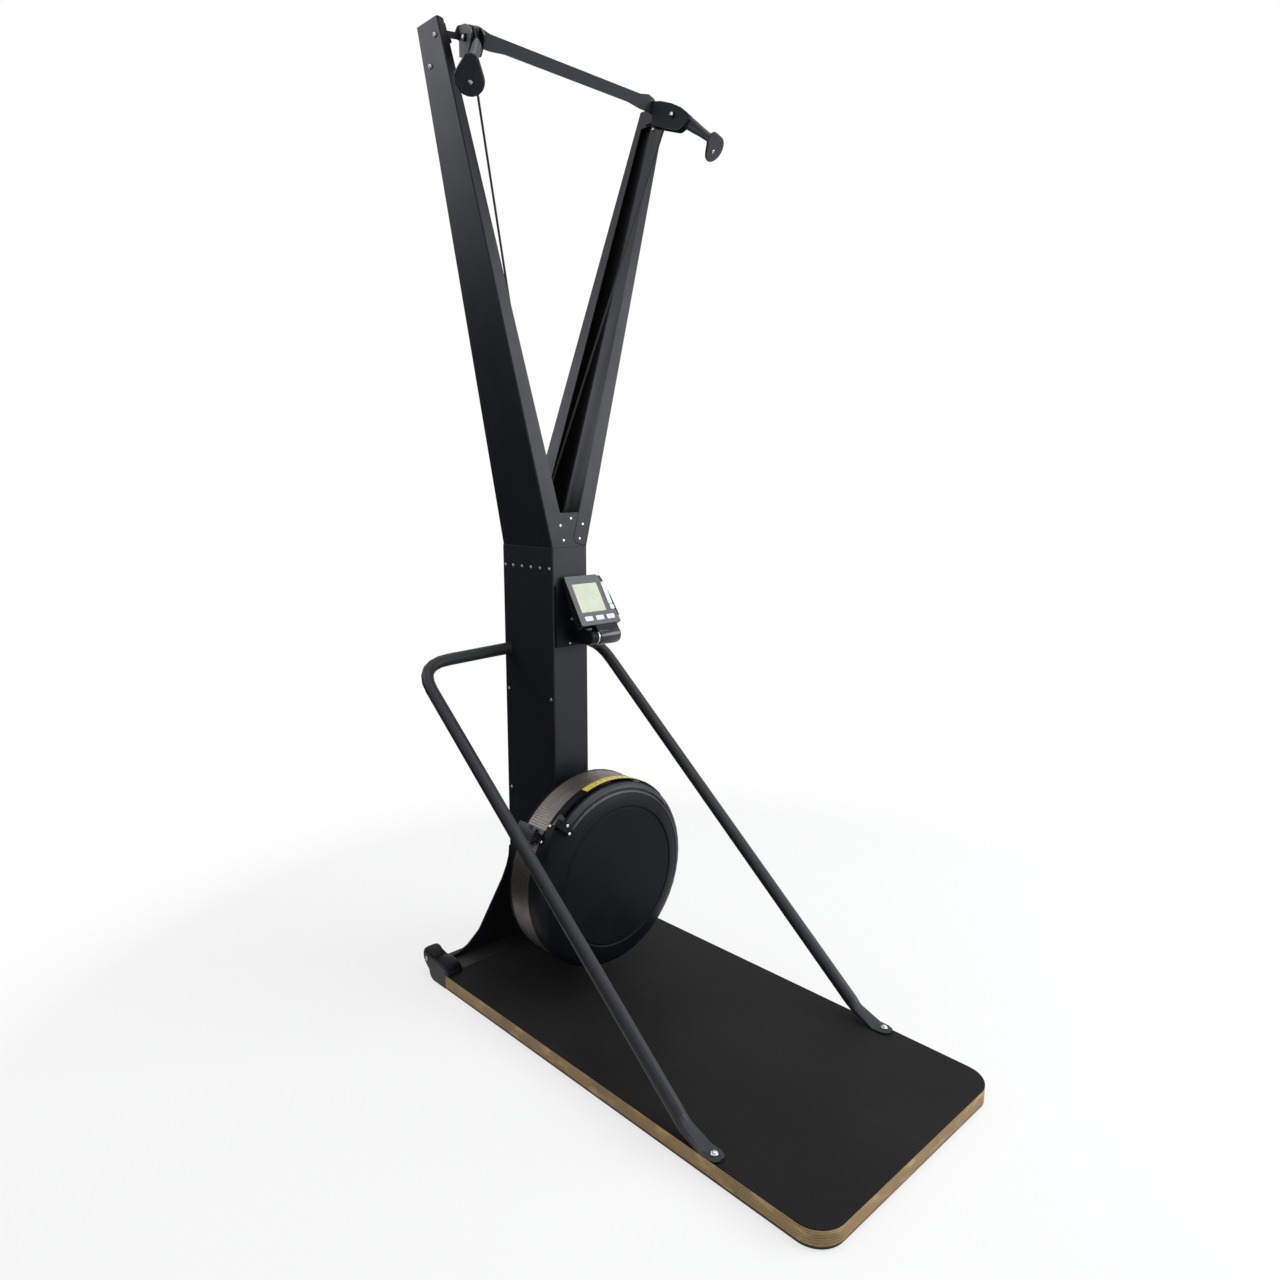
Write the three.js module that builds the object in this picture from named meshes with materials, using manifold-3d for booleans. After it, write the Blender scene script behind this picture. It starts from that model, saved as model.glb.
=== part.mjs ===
// A standing ski ergometer: a column with a V of two channel arms on a plywood deck, an air
// flywheel in a drum, a console, two handrails and two cords with handles.
// Millimetres, +Z up, the user stands on the deck and faces +Y. Every Y below is measured from
// the deck's front edge until the whole group is moved back to its centre at the end.
import * as THREE from 'three';
import { mergeVertices } from 'three/addons/utils/BufferGeometryUtils.js';
import Module from 'manifold-3d';

const wasm = await Module();
wasm.setup();

// Clearances and the overrun that every cut uses
const seatGap = 0.3;
const runGap = 0.6;
const overrun = 4;

// How many sides a turned form gets, by its size
const drumSides = 48;
const wheelSides = 24;
const pulleySides = 18;
const guideSides = 12;
const fanSides = 32;
const slotSides = 12;
const pinSides = 12;
const hexSides = 6;

// Deck
const deckWidth = 600;
const deckLength = 1134;
const deckCornerRadius = 58;
const underlayThickness = 5;
const boardThickness = 33;
const topSheetThickness = 2;
const underlayInset = 3;

// Rear beam and flared brace
const beamDepth = 78;
const beamEndGap = 2.8;
const beamWall = 3;
const beamCornerRadius = 22;
const braceThickness = 5;
const braceHeight = 255;
const braceFlangeDepth = 16;
const braceShares = [
  // from the column's edge to the beam's end, and up from the deck
  [1, 0.02], [0.84, 0.035], [0.7, 0.08], [0.61, 0.136], [0.515, 0.198], [0.13, 0.667], [0.055, 0.79],
  [0.015, 0.89], [0, 1],
];

// Column and arms
const sheet = 3;
const bendRadius = 2.5;
const columnWidth = 108;
const columnDepth = 198;
const columnFront = 993;
const columnHeight = 1057;
const coverFlangeDepth = 22;
const armHeight = 1064;
const armSlope = 0.2545;
const armTopDepth = 77;
const armFlangeFoot = 48;
const armFlangeTop = 17;
const armCornerRadius = 9;
const frontLipShare = 0.3;
const rearLipShare = 0.25;
const armSlotDrop = 45;
const armTongueLength = 82;
const armShelfWidth = 22;
const jointHeight = 82;
const jointPlateReach = 46;
const jointSkirt = 46;
const jointSeam = 0.6;
const jointCornerHeight = 31;
const jointLipDepth = 12;

// Crossbar
const barThickness = 4;
const barHeight = 27;
const barTopDrop = 8;
const barTopRise = 6;
const barFront = 971;
const barEndReach = 67.8;
const barFlare = 5;
const barFlareStart = 65;
const barFlareEnd = 27;
const barTongueTop = 14;
const barTongueFoot = 2;
const barTongueReach = 5;
const barEndDrop = 41;
const barEndDepth = 46;

// Pulley housings, top pulleys and their pins
const housingSplay = 20;
const housingBeyondBend = 26.5;
const housingReach = 54;
const housingSheet = 3;
const housingGap = 22;
const housingDrop = 51;
const cheekShares = [
  [0, -0.29], [0, 0.7], [0.44, 0.65], [0.96, 0.48], [1.42, 0.24], [1.73, -0.02], [1.85, -0.17],
  [1.84, -0.29], [1.65, -0.44], [1.3, -0.63], [1.18, -0.64],
];
const pulleyLineRadius = 20;
const pulleyRimRadius = 23.5;
const pulleyWidth = 14;
const pulleyBore = 6.2;
const pulleyLip = 1;
const pinRadius = 5;
const pinHeadRadius = 8;
const pinHeadHeight = 4.5;

// Cords
const cordDiameter = 5;
const cordSides = 6;

// Guide pulleys at the column head
const guideLineRadius = 12;
const guideRimRadius = 14;
const guideWidth = 12;
const guideBore = 5.2;
const guidePinRadius = 4.5;
const guideLip = 1.5;
const guideRise = 43;
const guideBracketLeft = 50;
const guideBracketRight = 23;
const guideSheet = 3;
const cordSpacing = 24;
const cordLaneFromFront = 76;

// Handles
const handleLength = 83;
const gripThickness = 17;
const gripTopHeight = 29;
const gripSides = 14;
const gripShares = [
  // place along the grip, thickness and height as shares of their own sizes
  [0, 0.62, 0.72], [0.03, 0.9, 0.94], [0.09, 1, 1], [0.3, 1, 0.93], [0.6, 1.04, 0.76],
  [0.85, 1.08, 0.69], [0.96, 1.16, 0.72], [1, 1.24, 0.76],
];
const eggHeight = 78;
const eggWidth = 59.5;
const eggThickness = 6;
const eggNarrowShare = 0.55;
const eggBevelShare = 0.3;
const eggOffset = 20;
const hang = {
  left: { cordAzimuth: 20, cordDroop: 58.5, handleAzimuth: 47, handleDroop: 42.2, drop: 43.9, eggTurn: 15.7 },
  right: { cordAzimuth: 20, cordDroop: 58.3, handleAzimuth: 12.2, handleDroop: 37.2, drop: 32.3, eggTurn: -60 },
};

// Flywheel, axle, bearings and clutch spools
const axleHeight = 272;
const axleRadius = 8;
const bearingRadius = 26;
const bearingWidth = 14;
const bearingFlange = 36;
const spoolLineRadius = 18;
const spoolRimRadius = 24;
const spoolWidth = 16;
const spoolLip = 2;
const spoolFlank = 4;
const fanRadius = 206;
const fanDiscThickness = 3;
const fanBladeCount = 28;
const fanBladeWidth = 46;
const fanBladeThickness = 2.4;
const fanHubRadius = 30;
const fanHubLength = 58;
const fanInnerShare = 0.42;
const fanTipGap = 1;
const fanBladeBow = [0.5, 0.22];
const fanBladeLean = 0.1;

// Drum
const drumRadius = 233;
const drumSheet = 2;
const bandBack = 940;
const bandWidth = 65;
const rearShellDepth = 36;
const rearShellStep = 4;
const rearShellFloorShare = 0.86;
const coverFaceRadius = 169;
const coverDepth = 57;
const coverThickness = 2.4;
const coverDome = [[0.34, 0.05], [0.7, 0.2], [0.9, 0.36], [1, 0.54]];
const coverStep = 2.6;
const slotStart = 36;
const slotEnd = 138;
const slotWidth = 9;
const slotInset = 24;
const ringRadialGap = 5.5;
const ringThickness = 3;
const ringWidth = 10;
const leverAngle = 133;
const leverSpan = 7;
const leverRise = 12;
const scaleStart = 61;
const scaleEnd = 107;
const scaleWidth = 15;
const scaleThickness = 1;
const clampAngle = 146;
const clampHeight = 24;
const clampSpan = 5.4;
const clampBoltRadius = 5;
const clampBoltShare = 0.6;
const clampBoltReach = 1.7;
const mountPlateRadius = 150;
const mountPlateThickness = 12;

// Console
const consoleWidth = 124;
const consoleTopWidth = 96;
const consoleHeight = 131;
const consoleThickness = 22;
const consoleTopThickness = 10;
const consoleTaperRise = 34;
const consoleTilt = 31;
const consoleCentre = 33;
const consoleFoot = 875;
const consoleFront = 914;
const consoleCorner = 5;
const consoleShoulder = { across: 0.5, brow: 0.62, up: 0.86 };
const screenWidth = 78;
const screenHeight = 76;
const screenRise = 34;
const screenShift = -8.5;
const screenThickness = 2;
const keyThickness = 5;
const keyProud = 2;
const keyWidth = 25;
const keyHeight = 12;
const keyPitch = 34.5;
const keyRise = 17;
const keyTravel = 1.5;
const sideKeyWidth = 13;
const sideKeyLength = 60;
const smallKeyLength = 13;
const sideKeyShift = 51;
const sideKeyRise = 35;
const sideKeyLean = 0.12;
const keyCorner = 2.7;
const spindleRadius = 8;
const pivotTubeRadius = 18;
const pivotTubeLength = 72;
const collarLength = 20;
const collarCentre = 12;
const saddleDepth = 20;
const saddleDrop = 15;
const pivotHeight = 843;
const pivotForward = 62;
const mountWidth = 96;
const mountHeight = 150;
const mountThickness = 5;
const mountArmHeight = 36;
const mountDrop = 27;

// Handrails
const railRadius = 15;
const railSides = 14;
const railInset = 14;
const railRise = 793;
const railBehindFront = 181;
const railCornerInset = 12;
const railCornerDrop = 22;
const railCornerBack = 55;
const railBend = 80;
const railBendSteps = 6;
const railFootFront = 252;
const railFootRun = 60;
const railTabHalfWidth = 19;
const railTabThickness = 6;
const railTabTail = 18;
const railHeelRise = 11.3;
const railPress = 36;
const railPressShares = [1.08, 0.75];
const railTabShares = [[1.15, 1], [0, 1], [-0.7, 0.75], [-1, 0.35]];
const railPlateRadius = 17;
const railPlateThickness = 3;
const footBoltRadius = 6.5;
const footBoltHeight = 5;

// Transport wheels
const wheelRadius = 27;
const wheelWidth = 34;
const wheelBore = 8.4;
const wheelSetback = 87;
const wheelLift = 11;
const wheelSheet = 4;
const wheelPlateBack = 76;
const wheelPlateCorner = 22;
const wheelPlateCrown = 14;
const wheelPlateFront = 50;
const wheelPlateFoot = 2;
const wheelPinRadius = 8;
const wheelFaceShares = [[0.62, 0], [0.74, 0.08], [0.95, 0.04], [1, 0.2]];

// Places worked out from the sizes above
const deckTop = underlayThickness + boardThickness + topSheetThickness;
const columnBack = columnFront + columnDepth;
const columnInside = columnWidth / 2 - sheet;
const armFoot = deckTop + columnHeight;
const armTop = armFoot + armHeight;
const armTopInner = columnWidth / 2 + armSlope * armHeight - armFlangeTop;
const barStraightHalf = armTopInner - barEndReach;
const housingMountX = barStraightHalf + housingBeyondBend;
const wheelPocket = wheelWidth + (wheelSheet + runGap) * 2;
const beamHalf = deckWidth / 2 - wheelPocket - beamEndGap;
const railReach = deckWidth / 2 - railInset;
const axleZ = deckTop + axleHeight;
const wheelY = deckLength + wheelSetback;
const wheelZ = deckTop + wheelLift;
const overallDepth = wheelY + wheelRadius;
const sides = { left: -1, right: 1 };

// Finishes
const finish = (color, roughness, metalness) => new THREE.MeshStandardMaterial({ color, roughness, metalness });
const powderCoat = finish(0x2b2c30, 0.55, 0.3);
const darkPlastic = finish(0x17181b, 0.5, 0);
const handlePlastic = finish(0x20242e, 0.45, 0);
const bandSteel = finish(0x6f6a62, 0.45, 0.6);
const zinc = finish(0xb9bcc0, 0.3, 0.9);
const bareSteel = finish(0x8a8d90, 0.35, 0.9);
const castAluminium = finish(0x9a9da0, 0.45, 0.8);
const plywood = finish(0xa98a58, 0.7, 0);
const deckBlack = finish(0x202022, 0.85, 0);
const rubberBlack = finish(0x141414, 0.9, 0);
const cordBlack = finish(0x1c1c1e, 0.9, 0);
const scaleYellow = finish(0xd9c53f, 0.6, 0);
const consoleGrey = finish(0x7d7f82, 0.5, 0.1);
const screenGreen = finish(0xcfd8c0, 0.2, 0);
const keyWhite = finish(0xe9ebec, 0.45, 0);

// Geometry helpers
const radians = THREE.MathUtils.degToRad;
const lerp = THREE.MathUtils.lerp;

function welded(geometry) {
  const bare = geometry.clone();
  bare.deleteAttribute('normal');
  bare.deleteAttribute('uv');
  return mergeVertices(bare, 1e-4);
}

function solid(geometry) {
  const shape = welded(geometry);
  const vertProperties = new Float32Array(shape.attributes.position.array);
  const triVerts = new Uint32Array(shape.index.array);
  return new wasm.Manifold(new wasm.Mesh({ numProp: 3, vertProperties, triVerts }));
}

function geometryOf(manifold) {
  const mesh = manifold.getMesh();
  const geometry = new THREE.BufferGeometry();
  geometry.setAttribute('position', new THREE.BufferAttribute(new Float32Array(mesh.vertProperties), 3));
  geometry.setIndex(new THREE.BufferAttribute(new Uint32Array(mesh.triVerts), 1));
  const flat = geometry.toNonIndexed();
  flat.computeVertexNormals();
  return flat;
}

const join = (first, ...rest) => geometryOf(rest.reduce((body, part) => body.add(solid(part)), solid(first)));
const cut = (first, ...rest) => geometryOf(rest.reduce((body, part) => body.subtract(solid(part)), solid(first)));

function box(x0, x1, y0, y1, z0, z1) {
  const geometry = new THREE.BoxGeometry(x1 - x0, y1 - y0, z1 - z0);
  return geometry.translate((x0 + x1) / 2, (y0 + y1) / 2, (z0 + z1) / 2);
}

// A rod along Y from y0 to y1, round x, z
function rodY(radius, y0, y1, x, z, segments = 24) {
  const geometry = new THREE.CylinderGeometry(radius, radius, y1 - y0, segments);
  return geometry.translate(x, (y0 + y1) / 2, z);
}

// A rod along X from x0 to x1, round y, z
function rodX(radius, x0, x1, y, z, segments = 24) {
  const geometry = new THREE.CylinderGeometry(radius, radius, x1 - x0, segments);
  return geometry.rotateZ(Math.PI / 2).translate((x0 + x1) / 2, y, z);
}

// A rod along Z from z0 to z1, round x, y
function rodZ(radius, z0, z1, x, y, segments = 24) {
  const geometry = new THREE.CylinderGeometry(radius, radius, z1 - z0, segments);
  return geometry.rotateX(Math.PI / 2).translate(x, y, (z0 + z1) / 2);
}

// A profile of [radius, y] pairs turned about the Y axis, moved to height z
function turnedY(profile, z, segments) {
  const points = profile.map(([radius, y]) => new THREE.Vector2(radius, y));
  return new THREE.LatheGeometry(points, segments).translate(0, 0, z);
}

// A flat outline in X and Y, extruded along Z
function slabZ(outline, z0, z1, curveSegments = 8) {
  const geometry = new THREE.ExtrudeGeometry(outline, { depth: z1 - z0, bevelEnabled: false, curveSegments });
  return geometry.translate(0, 0, z0);
}

// A flat outline in X and Z, extruded along Y
function slabY(outline, y0, y1, curveSegments = 8) {
  const geometry = new THREE.ExtrudeGeometry(outline, { depth: y1 - y0, bevelEnabled: false, curveSegments });
  return geometry.rotateX(Math.PI / 2).translate(0, y1, 0);
}

// A flat outline in Y and Z, extruded along X
function slabX(outline, x0, x1, curveSegments = 8) {
  const geometry = new THREE.ExtrudeGeometry(outline, { depth: x1 - x0, bevelEnabled: false, curveSegments });
  return geometry.rotateX(Math.PI / 2).rotateZ(Math.PI / 2).translate(x0, 0, 0);
}

const polygon = (points) => new THREE.Shape(points.map(([x, y]) => new THREE.Vector2(x, y)));

function roundedRectangle(x0, x1, y0, y1, radius) {
  const outline = new THREE.Shape();
  outline.moveTo(x0 + radius, y0);
  outline.lineTo(x1 - radius, y0);
  outline.absarc(x1 - radius, y0 + radius, radius, -Math.PI / 2, 0);
  outline.lineTo(x1, y1 - radius);
  outline.absarc(x1 - radius, y1 - radius, radius, 0, Math.PI / 2);
  outline.lineTo(x0 + radius, y1);
  outline.absarc(x0 + radius, y1 - radius, radius, Math.PI / 2, Math.PI);
  outline.lineTo(x0, y0 + radius);
  outline.absarc(x0 + radius, y0 + radius, radius, Math.PI, Math.PI * 1.5);
  return outline;
}

// Walls between rings of points, each ring in the same order, with flat ends
function ringLoft(rings) {
  const count = rings[0].length;
  const positions = rings.flat().flatMap((point) => [point.x, point.y, point.z]);
  const index = [];
  for (let ring = 0; ring + 1 < rings.length; ring += 1) {
    for (let i = 0; i < count; i += 1) {
      const a = ring * count + i;
      const b = ring * count + (i + 1) % count;
      index.push(a, b, b + count, a, b + count, a + count);
    }
  }
  return { positions, index, count, last: (rings.length - 1) * count };
}

function loftGeometry(loft, capTriangles) {
  for (const [a, b, c] of capTriangles) {
    loft.index.push(c, b, a);
    loft.index.push(loft.last + a, loft.last + b, loft.last + c);
  }
  const geometry = new THREE.BufferGeometry();
  geometry.setAttribute('position', new THREE.Float32BufferAttribute(loft.positions, 3));
  geometry.setIndex(loft.index);
  const flat = geometry.toNonIndexed();
  flat.computeVertexNormals();
  return flat;
}

// A solid between a lower and an upper outline, each a list of Vector3 in one Z plane
function loftZ(lower, upper) {
  const flatPoints = lower.map((point) => new THREE.Vector2(point.x, point.y));
  const clockwise = THREE.ShapeUtils.isClockWise(flatPoints);
  const bottom = clockwise ? [...lower].reverse() : lower;
  const top = clockwise ? [...upper].reverse() : upper;
  const outline = bottom.map((point) => new THREE.Vector2(point.x, point.y));
  const capTriangles = THREE.ShapeUtils.triangulateShape(outline, []);
  return loftGeometry(ringLoft([bottom, top]), capTriangles);
}

// A round or flattened bar swept along stations of { at, across, up } with half sizes
function sweptBar(stations, segments) {
  const rings = stations.map((station, i) => {
    const before = stations[Math.max(i - 1, 0)].at;
    const after = stations[Math.min(i + 1, stations.length - 1)].at;
    const along = after.clone().sub(before).normalize();
    const side = station.side.clone().addScaledVector(along, -station.side.dot(along)).normalize();
    const rise = new THREE.Vector3().crossVectors(along, side);
    const ring = [];
    for (let k = 0; k < segments; k += 1) {
      const angle = (k / segments) * Math.PI * 2;
      const point = station.at.clone();
      point.addScaledVector(side, Math.cos(angle) * station.halfWidth);
      point.addScaledVector(rise, Math.sin(angle) * station.halfHeight);
      ring.push(point);
    }
    return ring;
  });
  const caps = [];
  for (let k = 1; k + 1 < segments; k += 1) caps.push([0, k, k + 1]);
  return loftGeometry(ringLoft(rings), caps);
}

// A cord of constant diameter through a list of points
function cordAlong(points) {
  const stations = points.map((at, i) => {
    const next = points[Math.min(i + 1, points.length - 1)];
    const last = points[Math.max(i - 1, 0)];
    const along = next.clone().sub(last).normalize();
    const side = new THREE.Vector3(0, 1, 0);
    if (Math.abs(along.dot(side)) > 0.9) side.set(1, 0, 0);
    return { at, side, halfWidth: cordDiameter / 2, halfHeight: cordDiameter / 2 };
  });
  return sweptBar(stations, cordSides);
}

const machine = new THREE.Group();

function add(name, geometry, material, parent = machine) {
  const mesh = new THREE.Mesh(geometry, material);
  mesh.name = name;
  parent.add(mesh);
  return mesh;
}

// Mirrors a geometry to the left when side is -1 and turns its faces out again
function onSide(geometry, side) {
  if (side > 0) return geometry;
  return geometryOf(solid(geometry).mirror([1, 0, 0]));
}

// Deck
function deckOutline(inset) {
  const half = deckWidth / 2 - inset;
  const radius = deckCornerRadius - inset;
  const outline = new THREE.Shape();
  outline.moveTo(half, deckLength);
  outline.lineTo(-half, deckLength);
  outline.lineTo(-half, inset + radius);
  outline.absarc(-half + radius, inset + radius, radius, Math.PI, Math.PI * 1.5);
  outline.lineTo(half - radius, inset);
  outline.absarc(half - radius, inset + radius, radius, Math.PI * 1.5, Math.PI * 2);
  return outline;
}

function buildDeck() {
  const boardFoot = underlayThickness;
  const boardTop = boardFoot + boardThickness;
  add('deck_underlay', slabZ(deckOutline(underlayInset), 0, boardFoot), rubberBlack);
  add('deck_board', slabZ(deckOutline(0), boardFoot, boardTop), plywood);
  add('deck_top_sheet', slabZ(deckOutline(0), boardTop, deckTop), deckBlack);
}

// Rear beam: a box tube behind the board with its lower rear edge rounded
function beamOutline(inset) {
  const y0 = deckLength + seatGap + inset;
  const y1 = deckLength + beamDepth - inset;
  const radius = beamCornerRadius - inset;
  const outline = new THREE.Shape();
  outline.moveTo(y0, inset);
  outline.lineTo(y1 - radius, inset);
  outline.absarc(y1 - radius, inset + radius, radius, -Math.PI / 2, 0);
  outline.lineTo(y1, deckTop - inset);
  outline.lineTo(y0, deckTop - inset);
  return outline;
}

function braceOutline() {
  const foot = deckTop + seatGap;
  const edge = braceShares.map(([across, up]) => [
    lerp(columnWidth / 2, beamHalf, across), lerp(foot, deckTop + braceHeight, up),
  ]);
  const mirrored = edge.map(([x, z]) => [-x, z]).reverse();
  return polygon([[beamHalf, foot], ...edge, ...mirrored, [-beamHalf, foot]]);
}

function buildBase() {
  const tube = beamOutline(0);
  tube.holes.push(beamOutline(beamWall));
  add('rear_beam', slabX(tube, -beamHalf, beamHalf), powderCoat);
  const braceFront = columnBack + seatGap;
  const braceBack = braceFront + braceThickness;
  const foot = deckTop + seatGap;
  const plate = slabY(braceOutline(), braceFront, braceBack);
  const flangeBack = braceBack + braceFlangeDepth;
  const flange = box(-beamHalf, beamHalf, braceFront, flangeBack, foot, foot + braceThickness);
  add('flared_brace', join(plate, flange), powderCoat);
}

// Column: a folded channel open to the rear, closed by a flanged cover
function buildColumn() {
  const foot = deckTop + seatGap;
  const top = armFoot - seatGap;
  const half = columnWidth / 2;
  const r = bendRadius;
  const shell = polygon([
    [-half, columnBack], [-half, columnFront + r], [-half + r, columnFront],
    [half - r, columnFront], [half, columnFront + r], [half, columnBack],
    [columnInside, columnBack], [columnInside, columnFront + sheet],
    [-columnInside, columnFront + sheet], [-columnInside, columnBack],
  ]);
  const axleHole = rodY(axleRadius + runGap * 2, columnFront - overrun, columnFront + sheet + overrun, 0, axleZ);
  add('column_shell', cut(slabZ(shell, foot, top), axleHole), powderCoat);

  const wide = columnInside - seatGap;
  const flangeFront = columnBack - coverFlangeDepth;
  const cover = polygon([
    [-wide, flangeFront], [-wide + sheet, flangeFront], [-wide + sheet, columnBack - sheet],
    [wide - sheet, columnBack - sheet], [wide - sheet, flangeFront], [wide, flangeFront],
    [wide, columnBack], [-wide, columnBack],
  ]);
  add('column_rear_cover', slabZ(cover, foot, top), powderCoat);
}

// Arms: lipped channels that taper upward, web outside and slot inside
function armSizes(z) {
  const share = (z - armFoot) / armHeight;
  const outer = columnWidth / 2 + armSlope * (z - armFoot);
  const depth = lerp(columnDepth, armTopDepth, share);
  const inner = outer - lerp(armFlangeFoot, armFlangeTop, share);
  return { outer, inner, depth };
}

function armRing(z) {
  const { outer, inner, depth } = armSizes(z);
  const front = columnFront;
  const back = front + depth;
  const frontLip = front + depth * frontLipShare;
  const rearLip = back - depth * rearLipShare;
  const r = bendRadius;
  const t = sheet;
  return [
    [outer - r, front], [outer, front + r], [outer, back - r], [outer - r, back],
    [inner, back], [inner, rearLip], [inner + t, rearLip], [inner + t, back - t],
    [outer - t, back - t], [outer - t, front + t], [inner + t, front + t],
    [inner + t, frontLip], [inner, frontLip], [inner, front],
  ].map(([x, y]) => new THREE.Vector3(x, y, z));
}

// The plain block that a full-depth slice of an arm fills between two heights
function armBlock(z0, z1, xFrom, yFrom, yTo) {
  const ring = (z) => {
    const { outer, inner } = armSizes(z);
    const x0 = xFrom(inner, outer);
    const x1 = x0 + sheet;
    return [[x0, yFrom(z)], [x1, yFrom(z)], [x1, yTo(z)], [x0, yTo(z)]].map(([x, y]) => new THREE.Vector3(x, y, z));
  };
  return loftZ(ring(z0), ring(z1));
}

// The right flange's inner edge, which curves out to the column's edge at its foot
function jointSeamPoints() {
  const low = armFoot + sheet;
  const high = armFoot + jointHeight;
  const bend = armFoot + jointCornerHeight;
  const innerAt = (z) => armSizes(z).inner;
  const outline = new THREE.Shape();
  outline.moveTo(innerAt(high), high);
  outline.lineTo(innerAt(bend), bend);
  outline.quadraticCurveTo(innerAt(armFoot), low, columnInside, low);
  return outline.getPoints(8).map((point) => [point.x, point.y]);
}

function buildArm(side, name) {
  const lipFoot = armFoot + jointHeight + seatGap;
  const shell = loftZ(armRing(armFoot), armRing(armTop));
  const depthAt = (z) => armSizes(z).depth;
  const frontLipCut = armBlockCut(armFoot - overrun, lipFoot);
  const topCap = capPlate(armTop - sheet, armTop);
  const slotPlate = armBlock(
    armTop - armSlotDrop, armTop,
    (inner) => inner,
    (z) => columnFront + sheet / 2,
    (z) => columnFront + depthAt(z) - sheet / 2,
  );
  const tongueOuter = columnInside - seatGap;
  const tongueFront = columnFront + sheet + seatGap;
  const tongueBack = columnBack - coverFlangeDepth - seatGap;
  const tongueFoot = armFoot - armTongueLength;
  const tongue = box(tongueOuter - sheet, tongueOuter, tongueFront, tongueBack, tongueFoot, armFoot + sheet);
  const shelfOuter = columnWidth / 2 - sheet / 2;
  const shelfFront = tongueFront + sheet + seatGap;
  const shelf = box(shelfOuter - armShelfWidth, shelfOuter, shelfFront, tongueBack, armFoot, armFoot + sheet);
  let body = solid(shell).subtract(solid(frontLipCut));
  body = body.add(solid(topCap)).add(solid(slotPlate)).add(solid(tongue)).add(solid(shelf));
  if (side < 0) body = body.add(solid(leftFlangeFill()));
  body = body.subtract(solid(topCornerCut()));
  const rounded = side > 0 ? body.subtract(solid(flangeCornerCut())) : body;
  return add(name, onSide(geometryOf(rounded), side), powderCoat);
}

// Takes the front lip away where the joint plate lies behind the flange
function armBlockCut(z0, z1) {
  const ring = (z) => {
    const { inner, depth } = armSizes(z);
    const x0 = inner - overrun;
    const x1 = inner + sheet;
    const y0 = columnFront + sheet;
    const y1 = columnFront + depth * frontLipShare + overrun;
    return [[x0, y0], [x1, y0], [x1, y1], [x0, y1]].map(([x, y]) => new THREE.Vector3(x, y, z));
  };
  return loftZ(ring(z0), ring(z1));
}

// Rounds the front flange's inner corner at the top
function topCornerCut() {
  const r = armCornerRadius;
  const inner = armSizes(armTop).inner;
  const outline = new THREE.Shape();
  outline.moveTo(inner - overrun, armTop + overrun);
  outline.lineTo(inner - overrun, armTop - r);
  outline.lineTo(inner, armTop - r);
  outline.absarc(inner + r, armTop - r, r, Math.PI, Math.PI / 2, true);
  outline.lineTo(inner + r, armTop + overrun);
  return slabY(outline, columnFront - overrun, columnFront + sheet - seatGap, 4);
}

function capPlate(z0, z1) {
  const ring = (z) => {
    const { outer, inner, depth } = armSizes(z);
    const y0 = columnFront + sheet / 2;
    const y1 = columnFront + depth - sheet / 2;
    const x0 = inner + sheet / 2;
    const x1 = outer - sheet / 2;
    return [[x0, y0], [x1, y0], [x1, y1], [x0, y1]].map(([x, y]) => new THREE.Vector3(x, y, z));
  };
  return loftZ(ring(z0), ring(z1));
}

// The left flange runs on to the right flange's edge; drawn as if on the right and mirrored
function leftFlangeFill() {
  const high = armFoot + jointHeight;
  const seam = jointSeamPoints().map(([x, z]) => [-x + jointSeam, Math.min(z - jointSeam, high)]);
  seam[0][1] = high;
  const edge = seam.at(-1)[0];
  const inner = armSizes(armFoot).inner + sheet;
  const points = [[armSizes(high).inner + sheet, high], ...seam, [edge, armFoot], [inner, armFoot]];
  return slabY(polygon(points), columnFront, columnFront + sheet);
}

function flangeCornerCut() {
  const seam = jointSeamPoints();
  const foot = armFoot - overrun;
  const beside = [columnInside, foot];
  const corner = [armSizes(armFoot).inner - overrun, foot];
  const above = [seam[0][0] - overrun, seam[0][1]];
  const outline = polygon([...seam, beside, corner, above]);
  return slabY(outline, columnFront - overrun, columnFront + sheet + seatGap / 2);
}

function buildJointPlate() {
  const y0 = columnFront + sheet + seatGap;
  const y1 = y0 + sheet;
  const foot = armFoot - jointSkirt;
  const high = armFoot + jointHeight - seatGap;
  const wide = jointPlateReach;
  const plate = box(-wide, wide, y0, y1, foot, high);
  const lipHalf = armSizes(high).inner - sheet;
  const lip = box(-lipHalf, lipHalf, y0, y0 + jointLipDepth, high - sheet, high);
  add('joint_plate', join(plate, lip), powderCoat);
}

// Crossbar: a flat bar whose ends bend back to plates on the arms' inner faces
const barDiagonalY = (x) => barFront + (x - barStraightHalf) * Math.tan(radians(housingSplay));
const barY = (x) => Math.max(barFront, barDiagonalY(x));

function barRing(x, low, high) {
  const t = barThickness;
  const endAt = (z) => Math.min(x, armSizes(z).inner - seatGap);
  const corner = (y, z) => new THREE.Vector3(endAt(z), barY(endAt(z)) + y, z);
  return [corner(0, low), corner(t, low), corner(t, high), corner(0, high)];
}

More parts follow.
